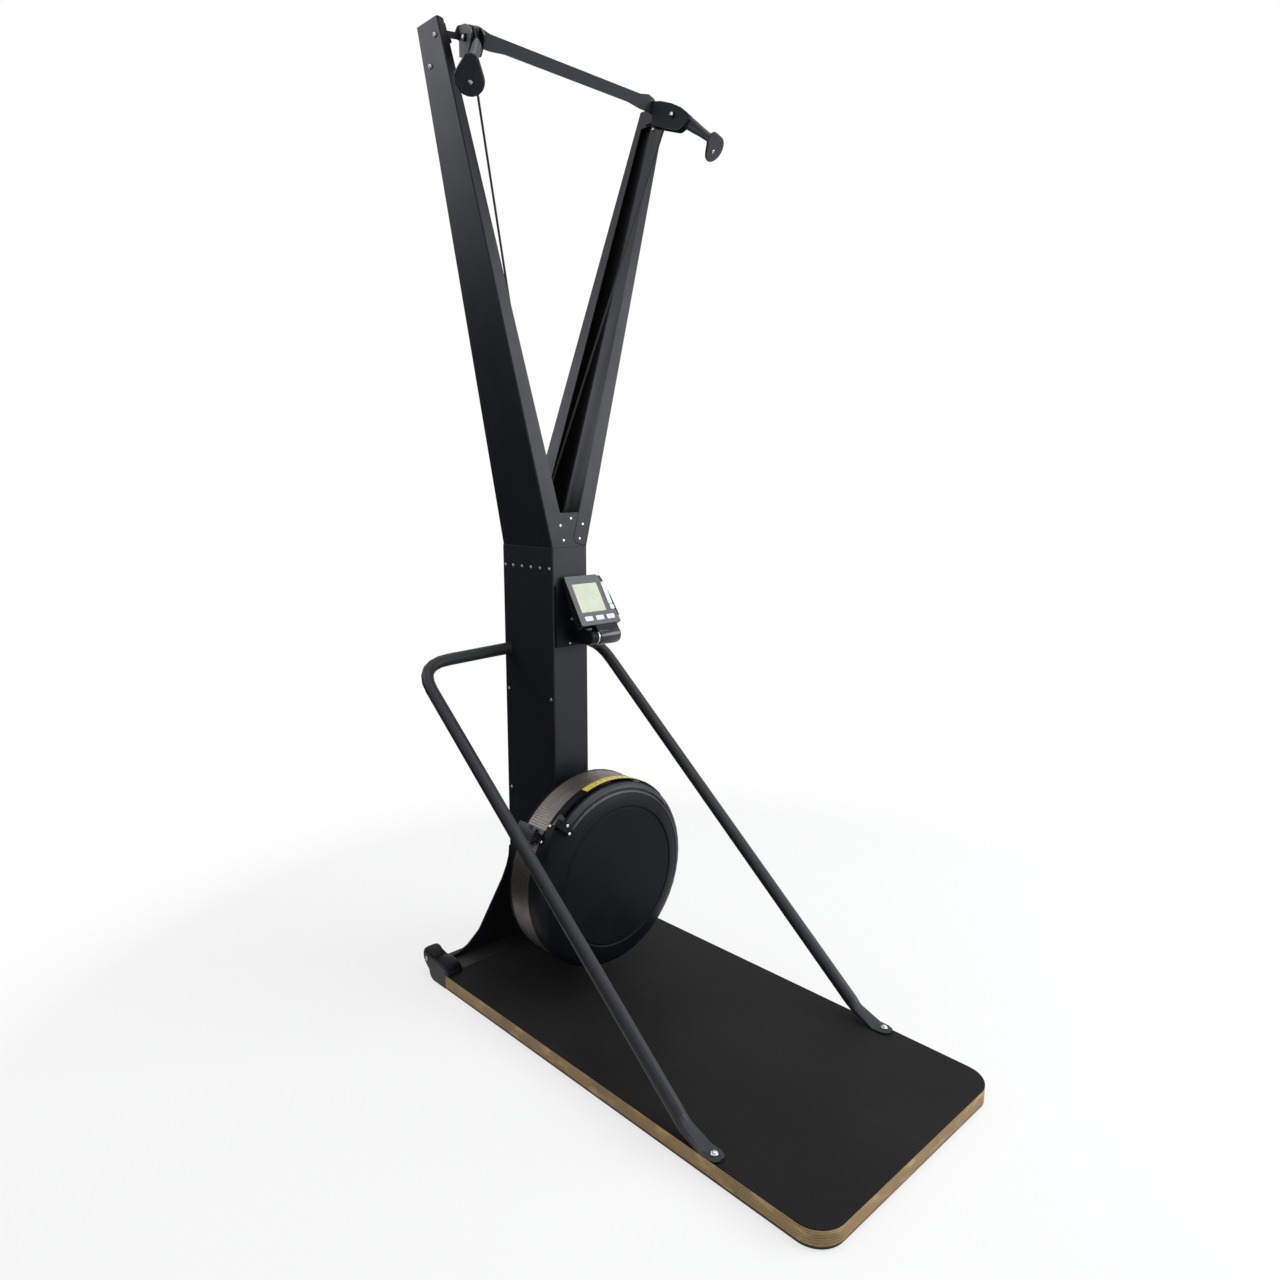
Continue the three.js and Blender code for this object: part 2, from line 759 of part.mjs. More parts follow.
function barHalf(side) {
  const top = armTop - barTopDrop;
  const foot = top - barHeight;
  const flared = foot - barFlare;
  const tongueTop = foot + barTongueTop;
  const tongueFoot = foot + barTongueFoot;
  const raised = top + barTopRise;
  const housingEnd = housingMountX + housingGap / 2 + housingSheet;
  const wall = armSizes(armTop).inner;
  const quad = [[0, 1, 2], [0, 2, 3]];
  const wide = [
    barRing(-overrun, foot, top), barRing(barStraightHalf - barFlareStart, foot, top),
    barRing(barStraightHalf - barFlareEnd, flared, top), barRing(barStraightHalf, flared, raised),
    barRing(housingMountX, flared, raised), barRing(housingEnd, tongueFoot, top),
    barRing(housingEnd + barTongueReach, tongueFoot, tongueTop),
    barRing(wall, tongueFoot, tongueTop),
  ];
  const plateRing = (z) => {
    const x1 = armSizes(z).inner - seatGap;
    const x0 = x1 - barThickness;
    const y0 = barY(x1);
    const y1 = columnFront + barEndDepth;
    return [[x0, y0], [x1, y0], [x1, y1], [x0, y1]].map(([x, y]) => new THREE.Vector3(x, y, z));
  };
  const plate = loftZ(plateRing(armTop - barEndDrop), plateRing(tongueTop));
  return onSide(join(loftGeometry(ringLoft(wide), quad), plate), side);
}

function buildCrossbar() {
  add('crossbar', join(barHalf(1), barHalf(-1)), powderCoat);
}

// Pulley housings stand square on the bar's bent ends; built pointing along -Y, then turned
const housingMountY = barDiagonalY(housingMountX);
const housingZ = armTop - housingDrop;
const pullAxis = (side) => new THREE.Vector3(
  side * Math.sin(radians(housingSplay)), -Math.cos(radians(housingSplay)), 0,
);

function placedHousing(side) {
  const group = new THREE.Group();
  const normal = pullAxis(side);
  group.position.set(side * housingMountX, housingMountY, housingZ);
  group.position.addScaledVector(normal, seatGap);
  group.rotation.z = side * radians(housingSplay);
  machine.add(group);
  return group;
}

const cheekOutline = () => polygon(cheekShares.map(([out, up]) => [-out * housingReach, up * housingReach]));
const cheekTop = Math.max(...cheekShares.map(([, up]) => up)) * housingReach;
const cheekFoot = cheekShares[0][1] * housingReach;

function buildHousing(side, name) {
  const group = placedHousing(side);
  const inside = housingGap / 2;
  const outside = inside + housingSheet;
  const holeRadius = pinRadius + runGap / 2;
  const cheeks = [slabX(cheekOutline(), inside, outside), slabX(cheekOutline(), -outside, -inside)];
  const web = box(-outside, outside, -housingSheet, 0, cheekFoot, cheekTop);
  const holes = rodX(holeRadius, -outside - overrun, outside + overrun, -housingReach, 0, pinSides);
  const body = join(web, ...cheeks);
  add(`pulley_housing_${name}`, cut(body, holes), powderCoat, group);

  const rimHalf = pulleyWidth / 2;
  const groove = pulleyLineRadius - cordDiameter / 2;
  const wheel = new THREE.LatheGeometry([
    [pulleyBore, -rimHalf], [pulleyRimRadius, -rimHalf], [pulleyRimRadius, -rimHalf + pulleyLip],
    [groove - seatGap, -cordDiameter / 2], [groove - seatGap, cordDiameter / 2],
    [pulleyRimRadius, rimHalf - pulleyLip], [pulleyRimRadius, rimHalf], [pulleyBore, rimHalf],
    [pulleyBore, -rimHalf],
  ].map(([r, y]) => new THREE.Vector2(r, y)), pulleySides);
  wheel.rotateZ(Math.PI / 2).translate(0, -housingReach, 0);
  add(`top_pulley_${name}`, wheel, darkPlastic, group);

  const shaftEnd = outside + seatGap;
  const shaft = rodX(pinRadius, -shaftEnd - pinHeadHeight, shaftEnd + pinHeadHeight, -housingReach, 0, pinSides);
  const head = rodX(pinHeadRadius, shaftEnd, shaftEnd + pinHeadHeight, -housingReach, 0, hexSides);
  const nut = rodX(pinHeadRadius, -shaftEnd - pinHeadHeight, -shaftEnd, -housingReach, 0, hexSides);
  add(`pulley_pin_${name}`, join(shaft, head, nut), zinc, group);
}

// Where each cord runs: over its top pulley, down inside its arm, past a guide pulley and onto
// its clutch spool on the flywheel axle
const cordX = -spoolLineRadius;
const cordY = (side) => columnFront + cordLaneFromFront + (side < 0 ? 0 : cordSpacing);
const guideZ = armFoot + guideRise;
const guideX = (side) => cordX + side * guideLineRadius;

function pulleyCentre(side) {
  const centre = new THREE.Vector3(side * housingMountX, housingMountY, housingZ);
  return centre.addScaledVector(pullAxis(side), housingReach + seatGap);
}

// A point on the top pulley's cord line, at an angle above the pull direction
function onPulley(side, degrees) {
  const angle = radians(degrees);
  const point = pulleyCentre(side);
  point.addScaledVector(pullAxis(side), Math.cos(angle) * pulleyLineRadius);
  point.z += Math.sin(angle) * pulleyLineRadius;
  return point;
}

// Where a handle's cord leaves its top pulley and which way it and the handle hang
function hangFrom(name) {
  const side = sides[name];
  const { cordAzimuth, cordDroop, handleAzimuth, handleDroop, drop } = hang[name];
  const towards = (azimuth, droop) => new THREE.Vector3(
    side * Math.sin(radians(azimuth)) * Math.cos(radians(droop)),
    -Math.cos(radians(azimuth)) * Math.cos(radians(droop)),
    -Math.sin(radians(droop)),
  );
  const exit = 90 - cordDroop;
  const cordWay = towards(cordAzimuth, cordDroop);
  const start = onPulley(side, exit);
  const end = start.clone().addScaledVector(cordWay, drop);
  return { exit, cordWay, start, end, handleWay: towards(handleAzimuth, handleDroop) };
}

function driveCordPoints(side, name) {
  const points = [];
  const { exit } = hangFrom(name);
  const backAngle = 186;
  const steps = 8;
  for (let i = 0; i <= steps; i += 1) points.push(onPulley(side, lerp(exit, backAngle, i / steps)));
  const turn = Math.atan2(points.at(-1).x - cordX, points.at(-1).z - guideZ) * side;
  const y = cordY(side);
  const centreX = guideX(side);
  const guideSteps = 3;
  for (let i = guideSteps; i >= 0; i -= 1) {
    const angle = (turn * i) / guideSteps;
    const x = centreX - side * Math.cos(angle) * guideLineRadius;
    points.push(new THREE.Vector3(x, y, guideZ + Math.sin(Math.abs(angle)) * guideLineRadius));
  }
  points.push(new THREE.Vector3(cordX, y, axleZ));
  return points;
}

function buildDriveCord(side, name) {
  add(`drive_cord_${name}`, cordAlong(driveCordPoints(side, name)), cordBlack);
}

// The free stretch from the top pulley to the handle
function buildPullCord(name) {
  const { start, end, cordWay } = hangFrom(name);
  const first = start.clone().addScaledVector(cordWay, seatGap * 2);
  const last = end.clone().addScaledVector(cordWay, -cordDiameter / 2);
  add(`pull_cord_${name}`, cordAlong([first, last]), cordBlack);
}

// Handles: a flattened grip that narrows to an egg-shaped end plate; built hanging along -Z
function eggOutline(turn) {
  const wide = eggWidth / 2;
  const narrow = wide * eggNarrowShare;
  const up = eggHeight / 2 - narrow;
  const down = eggHeight / 2 - wide;
  const lean = Math.asin((wide - narrow) / (up + down));
  const outline = new THREE.Shape();
  outline.absarc(0, up, narrow, lean, Math.PI - lean, false);
  outline.absarc(0, -down, wide, Math.PI - lean, Math.PI * 2 + lean, false);
  const points = outline.getPoints(7).map((point) => {
    point.y -= eggOffset;
    return point.rotateAround(new THREE.Vector2(), turn);
  });
  return new THREE.Shape(points);
}

function buildHandle(name) {
  const group = new THREE.Group();
  const { end, handleWay } = hangFrom(name);
  const back = handleWay.clone().negate();
  const upward = new THREE.Vector3(0, 0, 1).addScaledVector(back, -back.z).normalize();
  const across = new THREE.Vector3().crossVectors(upward, back);
  group.position.copy(end);
  group.quaternion.setFromRotationMatrix(new THREE.Matrix4().makeBasis(across, upward, back));
  machine.add(group);

  const stations = gripShares.map(([along, thick, high]) => ({
    at: new THREE.Vector3(0, 0, -handleLength * along),
    side: new THREE.Vector3(1, 0, 0),
    halfWidth: (gripThickness * thick) / 2,
    halfHeight: (gripTopHeight * high) / 2,
  }));
  add(`handle_grip_${name}`, sweptBar(stations, gripSides), handlePlastic, group);

  const plateTop = -handleLength - seatGap;
  const bevel = eggThickness * eggBevelShare;
  const plate = new THREE.ExtrudeGeometry(eggOutline(radians(hang[name].eggTurn)), {
    depth: eggThickness - bevel * 2, bevelThickness: bevel, bevelSize: bevel, bevelOffset: -bevel, bevelSegments: 1,
  });
  plate.translate(0, 0, plateTop - eggThickness + bevel);
  add(`handle_plate_${name}`, plate, handlePlastic, group);
}

// Guide pulleys on one axle in a bracket across the column head
function buildGuides() {
  const laneLeft = cordY(-1);
  const laneRight = cordY(1);
  const laneHalf = guideWidth / 2;
  for (const [name, side] of Object.entries(sides)) {
    const y = cordY(side);
    const groove = guideLineRadius - cordDiameter / 2 - seatGap;
    const profile = [
      [guideBore, y - laneHalf], [guideRimRadius, y - laneHalf],
      [guideRimRadius, y - laneHalf + guideLip], [groove, y - cordDiameter / 2],
      [groove, y + cordDiameter / 2], [guideRimRadius, y + laneHalf - guideLip],
      [guideRimRadius, y + laneHalf], [guideBore, y + laneHalf], [guideBore, y - laneHalf],
    ];
    const wheel = turnedY(profile, guideZ, guideSides).translate(guideX(side), 0, 0);
    add(`guide_pulley_${name}`, wheel, darkPlastic);
  }
  const t = guideSheet;
  const seat = columnFront + sheet * 2 + seatGap * 2;
  const plateFront = laneLeft - laneHalf - runGap - t;
  const plateBack = laneRight + laneHalf + runGap;
  const left = -guideBracketLeft;
  const right = guideBracketRight;
  const low = guideZ - guideRimRadius;
  const high = guideZ + guideRimRadius;
  const seatPlate = box(left, right, seat, seat + t, low, high);
  const frontPlate = box(left, right, plateFront, plateFront + t, low, high);
  const rearPlate = box(left, right, plateBack, plateBack + t, low, high);
  const leftWall = box(left, left + t, seat, plateBack + t, low, high);
  const rightWall = box(right - t, right, seat, plateBack + t, low, high);
  const holes = Object.values(sides).map((side) => rodY(
    guidePinRadius + seatGap, plateFront - overrun, plateBack + t + overrun, guideX(side), guideZ, pinSides,
  ));
  add('guide_bracket', cut(join(seatPlate, frontPlate, rearPlate, leftWall, rightWall), ...holes), powderCoat);
  for (const [name, side] of Object.entries(sides)) {
    const pin = rodY(guidePinRadius, plateFront - t, plateBack + t * 2, guideX(side), guideZ, pinSides);
    add(`guide_pin_${name}`, pin, bareSteel);
  }
}

// Flywheel fan, axle, bearings and spools
function buildFlywheel() {
  const discBack = bandBack - drumSheet;
  const discFront = discBack - fanDiscThickness;
  const bladeFront = discFront - fanBladeWidth;
  const hubFront = discBack - fanHubLength;
  const bore = axleRadius + runGap;
  const disc = turnedY([
    [bore, hubFront], [fanHubRadius, hubFront], [fanHubRadius, discFront],
    [fanRadius, discFront], [fanRadius, discBack], [bore, discBack], [bore, hubFront],
  ], axleZ, fanSides);
  const inner = fanRadius * fanInnerShare;
  const reach = fanRadius - inner;
  const tip = fanRadius - fanTipGap;
  const tipLean = reach * fanBladeLean;
  const [bowAlong, bowOut] = fanBladeBow.map((share) => reach * share);
  const blade = new THREE.Shape();
  blade.moveTo(inner, 0);
  blade.quadraticCurveTo(inner + bowAlong, bowOut, tip, tipLean);
  blade.lineTo(tip, tipLean + fanBladeThickness);
  blade.quadraticCurveTo(inner + bowAlong, bowOut + fanBladeThickness, inner, fanBladeThickness);
  let fan = solid(disc);
  for (let i = 0; i < fanBladeCount; i += 1) {
    const one = slabY(blade, bladeFront, discFront + fanDiscThickness / 2, 2);
    one.rotateY((i / fanBladeCount) * Math.PI * 2).translate(0, 0, axleZ);
    fan = fan.add(solid(one));
  }
  add('flywheel_fan', geometryOf(fan), castAluminium);

  const axleFront = hubFront - bearingWidth;
  const axleBack = columnBack - sheet - seatGap - bearingWidth / 2;
  add('flywheel_axle', rodY(axleRadius, axleFront, axleBack, 0, axleZ, pulleySides), bareSteel);

  const bearing = (y0, y1, flangeY0, flangeY1) => {
    const barrel = rodY(bearingRadius, y0, y1, 0, axleZ, pulleySides);
    const flange = rodY(bearingFlange, flangeY0, flangeY1, 0, axleZ, pulleySides);
    const hole = rodY(axleRadius + runGap, y0 - overrun, y1 + overrun, 0, axleZ, pulleySides);
    return cut(join(barrel, flange), hole);
  };
  const frontY = columnFront + sheet + seatGap;
  add('front_bearing', bearing(frontY, frontY + bearingWidth, frontY, frontY + sheet), castAluminium);
  const rearY = columnBack - sheet - seatGap;
  add('rear_bearing', bearing(rearY - bearingWidth, rearY, rearY - sheet, rearY), castAluminium);

  for (const [name, side] of Object.entries(sides)) {
    const y = cordY(side);
    const half = spoolWidth / 2;
    const groove = spoolLineRadius - cordDiameter / 2 - seatGap;
    const hole = axleRadius + runGap;
    const profile = [
      [hole, y - half], [spoolRimRadius, y - half], [spoolRimRadius, y - half + spoolLip],
      [groove, y - half + spoolFlank], [groove, y + half - spoolFlank],
      [spoolRimRadius, y + half - spoolLip], [spoolRimRadius, y + half], [hole, y + half],
      [hole, y - half],
    ];
    add(`clutch_spool_${name}`, turnedY(profile, axleZ, pulleySides), darkPlastic);
  }
}

// Drum: rear shell, cage band, front cover with its damper slot, ring, scale and clamp
function arcSector(r0, r1, from, to) {
  const outline = new THREE.Shape();
  outline.absarc(0, 0, r1, radians(from), radians(to), false);
  outline.absarc(0, 0, r0, radians(to), radians(from), true);
  return outline;
}

function buildDrum() {
  const bandFront = bandBack - bandWidth;
  const t = drumSheet;
  const shellBack = bandBack + rearShellDepth;
  const floor = drumRadius * rearShellFloorShare;
  const hole = fanHubRadius;
  const rear = turnedY([
    [hole, shellBack - t], [floor, shellBack - t], [drumRadius - rearShellStep - t, bandBack + rearShellStep],
    [drumRadius - rearShellStep - t, bandBack + seatGap], [drumRadius + t, bandBack + seatGap],
    [drumRadius + t, bandBack + rearShellStep], [drumRadius - rearShellStep, bandBack + rearShellStep * 2],
    [floor + t, shellBack], [hole, shellBack], [hole, shellBack - t],
  ], axleZ, drumSides);
  add('drum_rear_shell', rear, darkPlastic);

  const band = turnedY([
    [drumRadius - t, bandFront], [drumRadius, bandFront], [drumRadius, bandBack],
    [drumRadius - t, bandBack], [drumRadius - t, bandFront],
  ], axleZ, drumSides);
  add('drum_band', band, bandSteel);

  const faceY = bandFront - coverDepth;
  const c = coverThickness;
  const face = coverFaceRadius;
  const rim = drumRadius;
  const domed = (shares, inward) => shares.map(([across, deep]) => [
    lerp(face, rim, across) - inward, faceY + coverDepth * deep + inward,
  ]);
  const outer = [
    [0, faceY], [face - c, faceY], [face, faceY + c], [face + c, faceY + c], [face + c * 2, faceY],
    ...domed(coverDome, 0), [rim, bandFront - seatGap],
  ];
  const inner = [
    [rim - c, bandFront - seatGap], ...domed(coverDome.slice(1), c).reverse(), [face + c, faceY + c * coverStep],
    [face - c * 2, faceY + c * coverStep], [face - c * 3, faceY + c], [0, faceY + c],
  ];
  const cover = turnedY([...outer, ...inner], axleZ, drumSides);
  const slotBack = bandFront - slotInset;
  const slotShape = arcSector(drumRadius - slotInset, drumRadius + overrun, slotStart, slotEnd);
  const slotCut = slabY(slotShape, slotBack - slotWidth, slotBack, slotSides).translate(0, 0, axleZ);
  add('drum_front_cover', cut(cover, slotCut), darkPlastic);

  const ringOuter = drumRadius - coverThickness - ringRadialGap;
  const ringFront = slotBack - slotWidth / 2 - ringWidth / 2 + overrun;
  const ring = turnedY([
    [ringOuter - ringThickness, ringFront + ringWidth], [ringOuter - ringThickness, ringFront],
    [ringOuter, ringFront], [ringOuter, ringFront + ringWidth],
    [ringOuter - ringThickness, ringFront + ringWidth],
  ], axleZ, drumSides);
  const leverFront = slotBack - slotWidth + runGap;
  const leverBack = slotBack - runGap;
  const leverFrom = leverAngle - leverSpan / 2;
  const leverFoot = ringOuter - ringThickness / 2;
  const leverShape = arcSector(leverFoot, drumRadius + leverRise, leverFrom, leverFrom + leverSpan);
  const lever = slabY(leverShape, leverFront, leverBack, 3).translate(0, 0, axleZ);
  add('damper_ring', join(ring, lever), darkPlastic);

  const scaleInner = drumRadius + seatGap;
  const scaleBack = bandFront - overrun;
  const scaleShape = arcSector(scaleInner, scaleInner + scaleThickness, scaleStart, scaleEnd);
  const scale = slabY(scaleShape, scaleBack - scaleWidth, scaleBack, slotSides / 2).translate(0, 0, axleZ);
  add('damper_scale', scale, scaleYellow);

  const lugInner = drumRadius + seatGap;
  const lugFrom = clampAngle - clampSpan / 2;
  const lugShape = arcSector(lugInner, lugInner + clampHeight, lugFrom, lugFrom + clampSpan);
  const lugs = slabY(lugShape, bandFront + overrun, bandBack - overrun, 3).translate(0, 0, axleZ);
  const middle = lugInner + clampHeight * clampBoltShare;
  const boltX = middle * Math.cos(radians(clampAngle));
  const boltZ = axleZ + middle * Math.sin(radians(clampAngle));
  const boltLength = clampHeight * clampBoltReach;
  const bolt = new THREE.CylinderGeometry(clampBoltRadius, clampBoltRadius, boltLength, pinSides);
  bolt.rotateX(Math.PI / 2).rotateY(radians(-clampAngle)).translate(boltX, (bandFront + bandBack) / 2, boltZ);
  add('band_clamp', join(lugs, bolt), darkPlastic);

  const plateFront = shellBack + seatGap;
  const plateBack = columnFront - seatGap;
  const plate = turnedY([
    [hole, plateFront], [mountPlateRadius, plateFront], [mountPlateRadius, plateBack], [hole, plateBack],
    [hole, plateFront],
  ], axleZ, fanSides);
  add('drum_mount_plate', plate, powderCoat);
}

// Console on its pivot tube, drawn upright and tilted back about the tube
function buildConsole() {
  const plateBack = columnFront - seatGap;
  const plateFront = plateBack - mountThickness;
  const pivotY = columnFront - pivotForward;
  const pivotZ = deckTop + pivotHeight;
  const plateFoot = pivotZ - mountDrop;
  const plate = box(-mountWidth / 2, mountWidth / 2, plateFront, plateBack, plateFoot, plateFoot + mountHeight);
  const armLeft = collarCentre - collarLength / 2;
  const armRight = collarCentre + collarLength / 2;
  const armHalf = mountArmHeight / 2;
  const armBack = plateFront + mountThickness / 2;
  const arm = box(armLeft, armRight, pivotY, armBack, pivotZ - armHalf, pivotZ + armHalf);
  const boss = rodX(armHalf, armLeft, armRight, pivotY, pivotZ);
  const tubeStart = armRight + runGap;
  const tubeEnd = armRight + pivotTubeLength;
  const spindle = rodX(spindleRadius, collarCentre, tubeEnd + sheet, pivotY, pivotZ, guideSides);
  add('console_mount', join(plate, arm, boss, spindle), darkPlastic);

  const tube = rodX(pivotTubeRadius, tubeStart, tubeEnd, pivotY, pivotZ);
  const boreRadius = spindleRadius + runGap;
  const bore = rodX(boreRadius, tubeStart - overrun, tubeEnd + overrun, pivotY, pivotZ, guideSides);
  add('console_pivot_tube', cut(tube, bore), darkPlastic);

  const tilted = new THREE.Group();
  tilted.position.set(consoleCentre, consoleFront, deckTop + consoleFoot);
  tilted.rotation.x = -radians(consoleTilt);
  machine.add(tilted);
  const half = consoleWidth / 2;
  const topRight = consoleTopWidth - half;
  const r = consoleCorner;
  const shoulder = lerp(half, topRight, consoleShoulder.across);
  const brow = lerp(half, topRight, consoleShoulder.brow);
  const outline = new THREE.Shape();
  outline.moveTo(-half + r, 0);
  outline.lineTo(half - r, 0);
  outline.quadraticCurveTo(half, 0, half, r);
  outline.lineTo(shoulder, consoleHeight * consoleShoulder.up);
  outline.quadraticCurveTo(brow, consoleHeight, topRight, consoleHeight);
  outline.lineTo(-half + r, consoleHeight);
  outline.quadraticCurveTo(-half, consoleHeight, -half, consoleHeight - r);
  outline.lineTo(-half, r);
  outline.quadraticCurveTo(-half, 0, -half + r, 0);
  const body = slabY(outline, 0, consoleThickness, 5);
  const screenX0 = screenShift - screenWidth / 2;
  const screenX1 = screenShift + screenWidth / 2;
  const screenZ1 = screenRise + screenHeight;
  const recessBack = screenThickness + seatGap;
  const screenCut = box(screenX0, screenX1, -overrun, recessBack, screenRise, screenZ1);
  const keys = [];
  for (const step of [-1, 0, 1]) keys.push({ x: step * keyPitch, z: keyRise, w: keyWidth, h: keyHeight });
  const longZ = sideKeyRise + smallKeyLength + runGap * 2 + sideKeyLength / 2;
  const smallZ = sideKeyRise + smallKeyLength / 2;
  const wellDepth = keyThickness - keyProud + keyTravel + runGap;
  const sideShift = (z) => sideKeyShift - (z / consoleHeight) * (half - topRight) * sideKeyLean;
  keys.push({ x: sideShift(longZ), z: longZ, w: sideKeyWidth, h: sideKeyLength });
  keys.push({ x: sideShift(smallZ), z: smallZ, w: sideKeyWidth, h: smallKeyLength });
  const keyShape = ({ x, z, w, h }, gap) => roundedRectangle(
    x - w / 2 - gap, x + w / 2 + gap, z - h / 2 - gap, z + h / 2 + gap, keyCorner + gap,
  );
  const wells = keys.map((key) => slabY(keyShape(key, seatGap), -overrun, wellDepth, 2));
  const sine = Math.sin(radians(consoleTilt));
  const cosine = Math.cos(radians(consoleTilt));
  const tubeAhead = pivotY - consoleFront;
  const tubeAbove = pivotHeight - consoleFoot;
  const tubeDeep = tubeAhead * cosine - tubeAbove * sine;
  const tubeRise = tubeAhead * sine + tubeAbove * cosine;
  const saddleBack = consoleThickness / 2 + saddleDepth;
  const saddleX0 = tubeStart - consoleCentre;
  const saddleX1 = half - consoleCorner;
  const saddleFoot = box(saddleX0, saddleX1, consoleThickness / 2, saddleBack, -saddleDrop, overrun);
  const tubeSpace = rodX(pivotTubeRadius + seatGap, -consoleWidth, consoleWidth, tubeDeep, tubeRise);
  const taper = slabX(polygon([
    [consoleThickness + overrun, consoleTaperRise], [consoleThickness, consoleTaperRise],
    [consoleTopThickness, consoleHeight + overrun], [consoleThickness + overrun, consoleHeight + overrun],
  ]), -consoleWidth, consoleWidth);
  const housing = cut(join(body, saddleFoot), taper, tubeSpace, screenCut, ...wells);
  add('console_housing', housing, consoleGrey, tilted);

  const g = seatGap;
  const screen = box(screenX0 + g, screenX1 - g, g, screenThickness, screenRise + g, screenZ1 - g);
  add('console_screen', screen, screenGreen, tilted);
  const keyNames = ['button_left', 'button_middle', 'button_right', 'side_key', 'small_key'];
  keys.forEach((key, i) => {
    const cap = slabY(keyShape(key, 0), -keyProud, keyThickness - keyProud, 2);
    add(`console_${keyNames[i]}`, cap, keyWhite, tilted);
  });
}

// Handrails: out from the column side, bent down and forward to a flattened foot on the deck
function railLine() {
  const y = columnFront + railBehindFront;
  const z = deckTop + railRise;
  const start = new THREE.Vector3(columnWidth / 2 + seatGap, y, z);
  const cornerX = deckWidth / 2 - railCornerInset;
  const corner = new THREE.Vector3(cornerX, y + railCornerBack, z - railCornerDrop);
  const heel = new THREE.Vector3(railReach, railFootFront + railFootRun, deckTop + railHeelRise);
  const out = corner.clone().sub(start).normalize();
  const down = heel.clone().sub(corner).normalize();
  const bend = new THREE.QuadraticBezierCurve3(
    corner.clone().addScaledVector(out, -railBend), corner, corner.clone().addScaledVector(down, railBend),
  );
  return { start, heel, out, down, bend };
}

function railTube() {
  const { start, heel, out, down, bend } = railLine();
  const side = new THREE.Vector3().crossVectors(out, down).normalize();
  const places = [
    start.clone().addScaledVector(out, -overrun), ...bend.getPoints(railBendSteps),
    heel.clone().addScaledVector(down, -railPress),
  ];
  return sweptBar(places.map((at) => (
    { at, side, halfWidth: railRadius, halfHeight: railRadius }
  )), railSides);
}

function railFoot() {
  const { heel, down } = railLine();
  const side = new THREE.Vector3(1, 0, 0);
  const [pressWidth, pressHeight] = railPressShares;
  const tabZ = deckTop + seatGap + railTabThickness / 2;
  const flat = (run, share) => ({
    at: new THREE.Vector3(railReach, railFootFront + run, tabZ),
    side, halfWidth: railTabHalfWidth * share, halfHeight: railTabThickness / 2,
  });
  const sloped = (back, width, height) => ({
    at: heel.clone().addScaledVector(down, -back), side, halfWidth: railRadius * width, halfHeight: railRadius * height,
  });
  return sweptBar([
    sloped(railPress + overrun / 2, 1, 1), sloped(railRadius, pressWidth, pressHeight),
    ...railTabShares.map(([run, share]) => flat(run * railTabTail, share)),
  ], railSides);
}

function buildRail(side, name) {
  const { start } = railLine();
  const collarEnd = start.x + railPlateThickness;
  const collar = rodX(railPlateRadius, start.x, collarEnd, start.y, start.z, railSides);
  const floor = deckTop + seatGap;
  const below = box(0, deckWidth, 0, deckLength, floor - deckWidth, floor);
  const inside = box(start.x - deckWidth, start.x, columnFront, columnBack, deckTop, armFoot);
  const whole = cut(join(railTube(), railFoot(), collar), below, inside);
  add(`rail_${name}`, onSide(whole, side), powderCoat);

  const boltFoot = deckTop + railTabThickness + seatGap * 2;
  const boltTop = boltFoot + footBoltHeight;
  const head = rodZ(footBoltRadius, boltFoot, boltTop, side * railReach, railFootFront, hexSides);
  add(`rail_bolt_${name}`, head, zinc);
}

// Transport wheels, each in a U bracket whose web stands behind the board beside the beam
function wheelPlateOutline() {
  const front = deckLength + seatGap;
  const back = deckLength + wheelPlateBack;
  const foot = wheelPlateFoot;
  const corner = wheelPlateCorner;
  const outline = new THREE.Shape();
  outline.moveTo(front, foot);
  outline.lineTo(back - corner, foot);
  outline.absarc(back - corner, foot + corner, corner, -Math.PI / 2, 0, false);
  outline.absarc(wheelY, wheelZ, wheelPlateCrown, -Math.PI / 4, Math.PI / 2, false);
  outline.lineTo(front, wheelPlateFront);
  return outline;
}

function buildWheel(side, name) {
  const outerFace = deckWidth / 2;
  const outerPlate = outerFace - wheelSheet;
  const wheelOut = outerPlate - runGap;
  const wheelIn = wheelOut - wheelWidth;
  const innerPlate = wheelIn - runGap - wheelSheet;
  const near = wheelFaceShares.map(([r, x]) => [wheelRadius * r, wheelWidth * x]);
  const far = near.map(([r, x]) => [r, wheelWidth - x]).reverse();
  const tread = [[wheelBore, 0], ...near, ...far, [wheelBore, wheelWidth], [wheelBore, 0]];
  const turned = new THREE.LatheGeometry(tread.map(([r, y]) => new THREE.Vector2(r, y)), wheelSides);
  const wheel = turned.rotateZ(-Math.PI / 2).translate(wheelIn, wheelY, wheelZ);
  add(`wheel_${name}`, onSide(wheel, side), rubberBlack);

  const front = deckLength + seatGap;
  const outer = slabX(wheelPlateOutline(), outerPlate, outerFace, 5);
  const inner = slabX(wheelPlateOutline(), innerPlate, innerPlate + wheelSheet, 5);
  const web = box(innerPlate, outerFace, front, front + wheelSheet, wheelPlateFoot, wheelPlateFront);
  const pin = rodX(wheelPinRadius, innerPlate, outerFace, wheelY, wheelZ, pinSides);
  add(`wheel_bracket_${name}`, onSide(join(outer, inner, web, pin), side), powderCoat);
}

buildDeck();
buildBase();
buildColumn();
buildArm(sides.left, 'arm_left');
buildArm(sides.right, 'arm_right');
buildJointPlate();
buildCrossbar();
for (const [name, side] of Object.entries(sides)) {
  buildHousing(side, name);
  buildDriveCord(side, name);
  buildPullCord(name);
  buildHandle(name);
  buildRail(side, name);
  buildWheel(side, name);
}
buildGuides();
buildFlywheel();
buildDrum();
buildConsole();

machine.position.y = -overallDepth / 2;

export default machine;
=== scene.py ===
import math

import bmesh
import bpy
from mathutils import Matrix, Vector


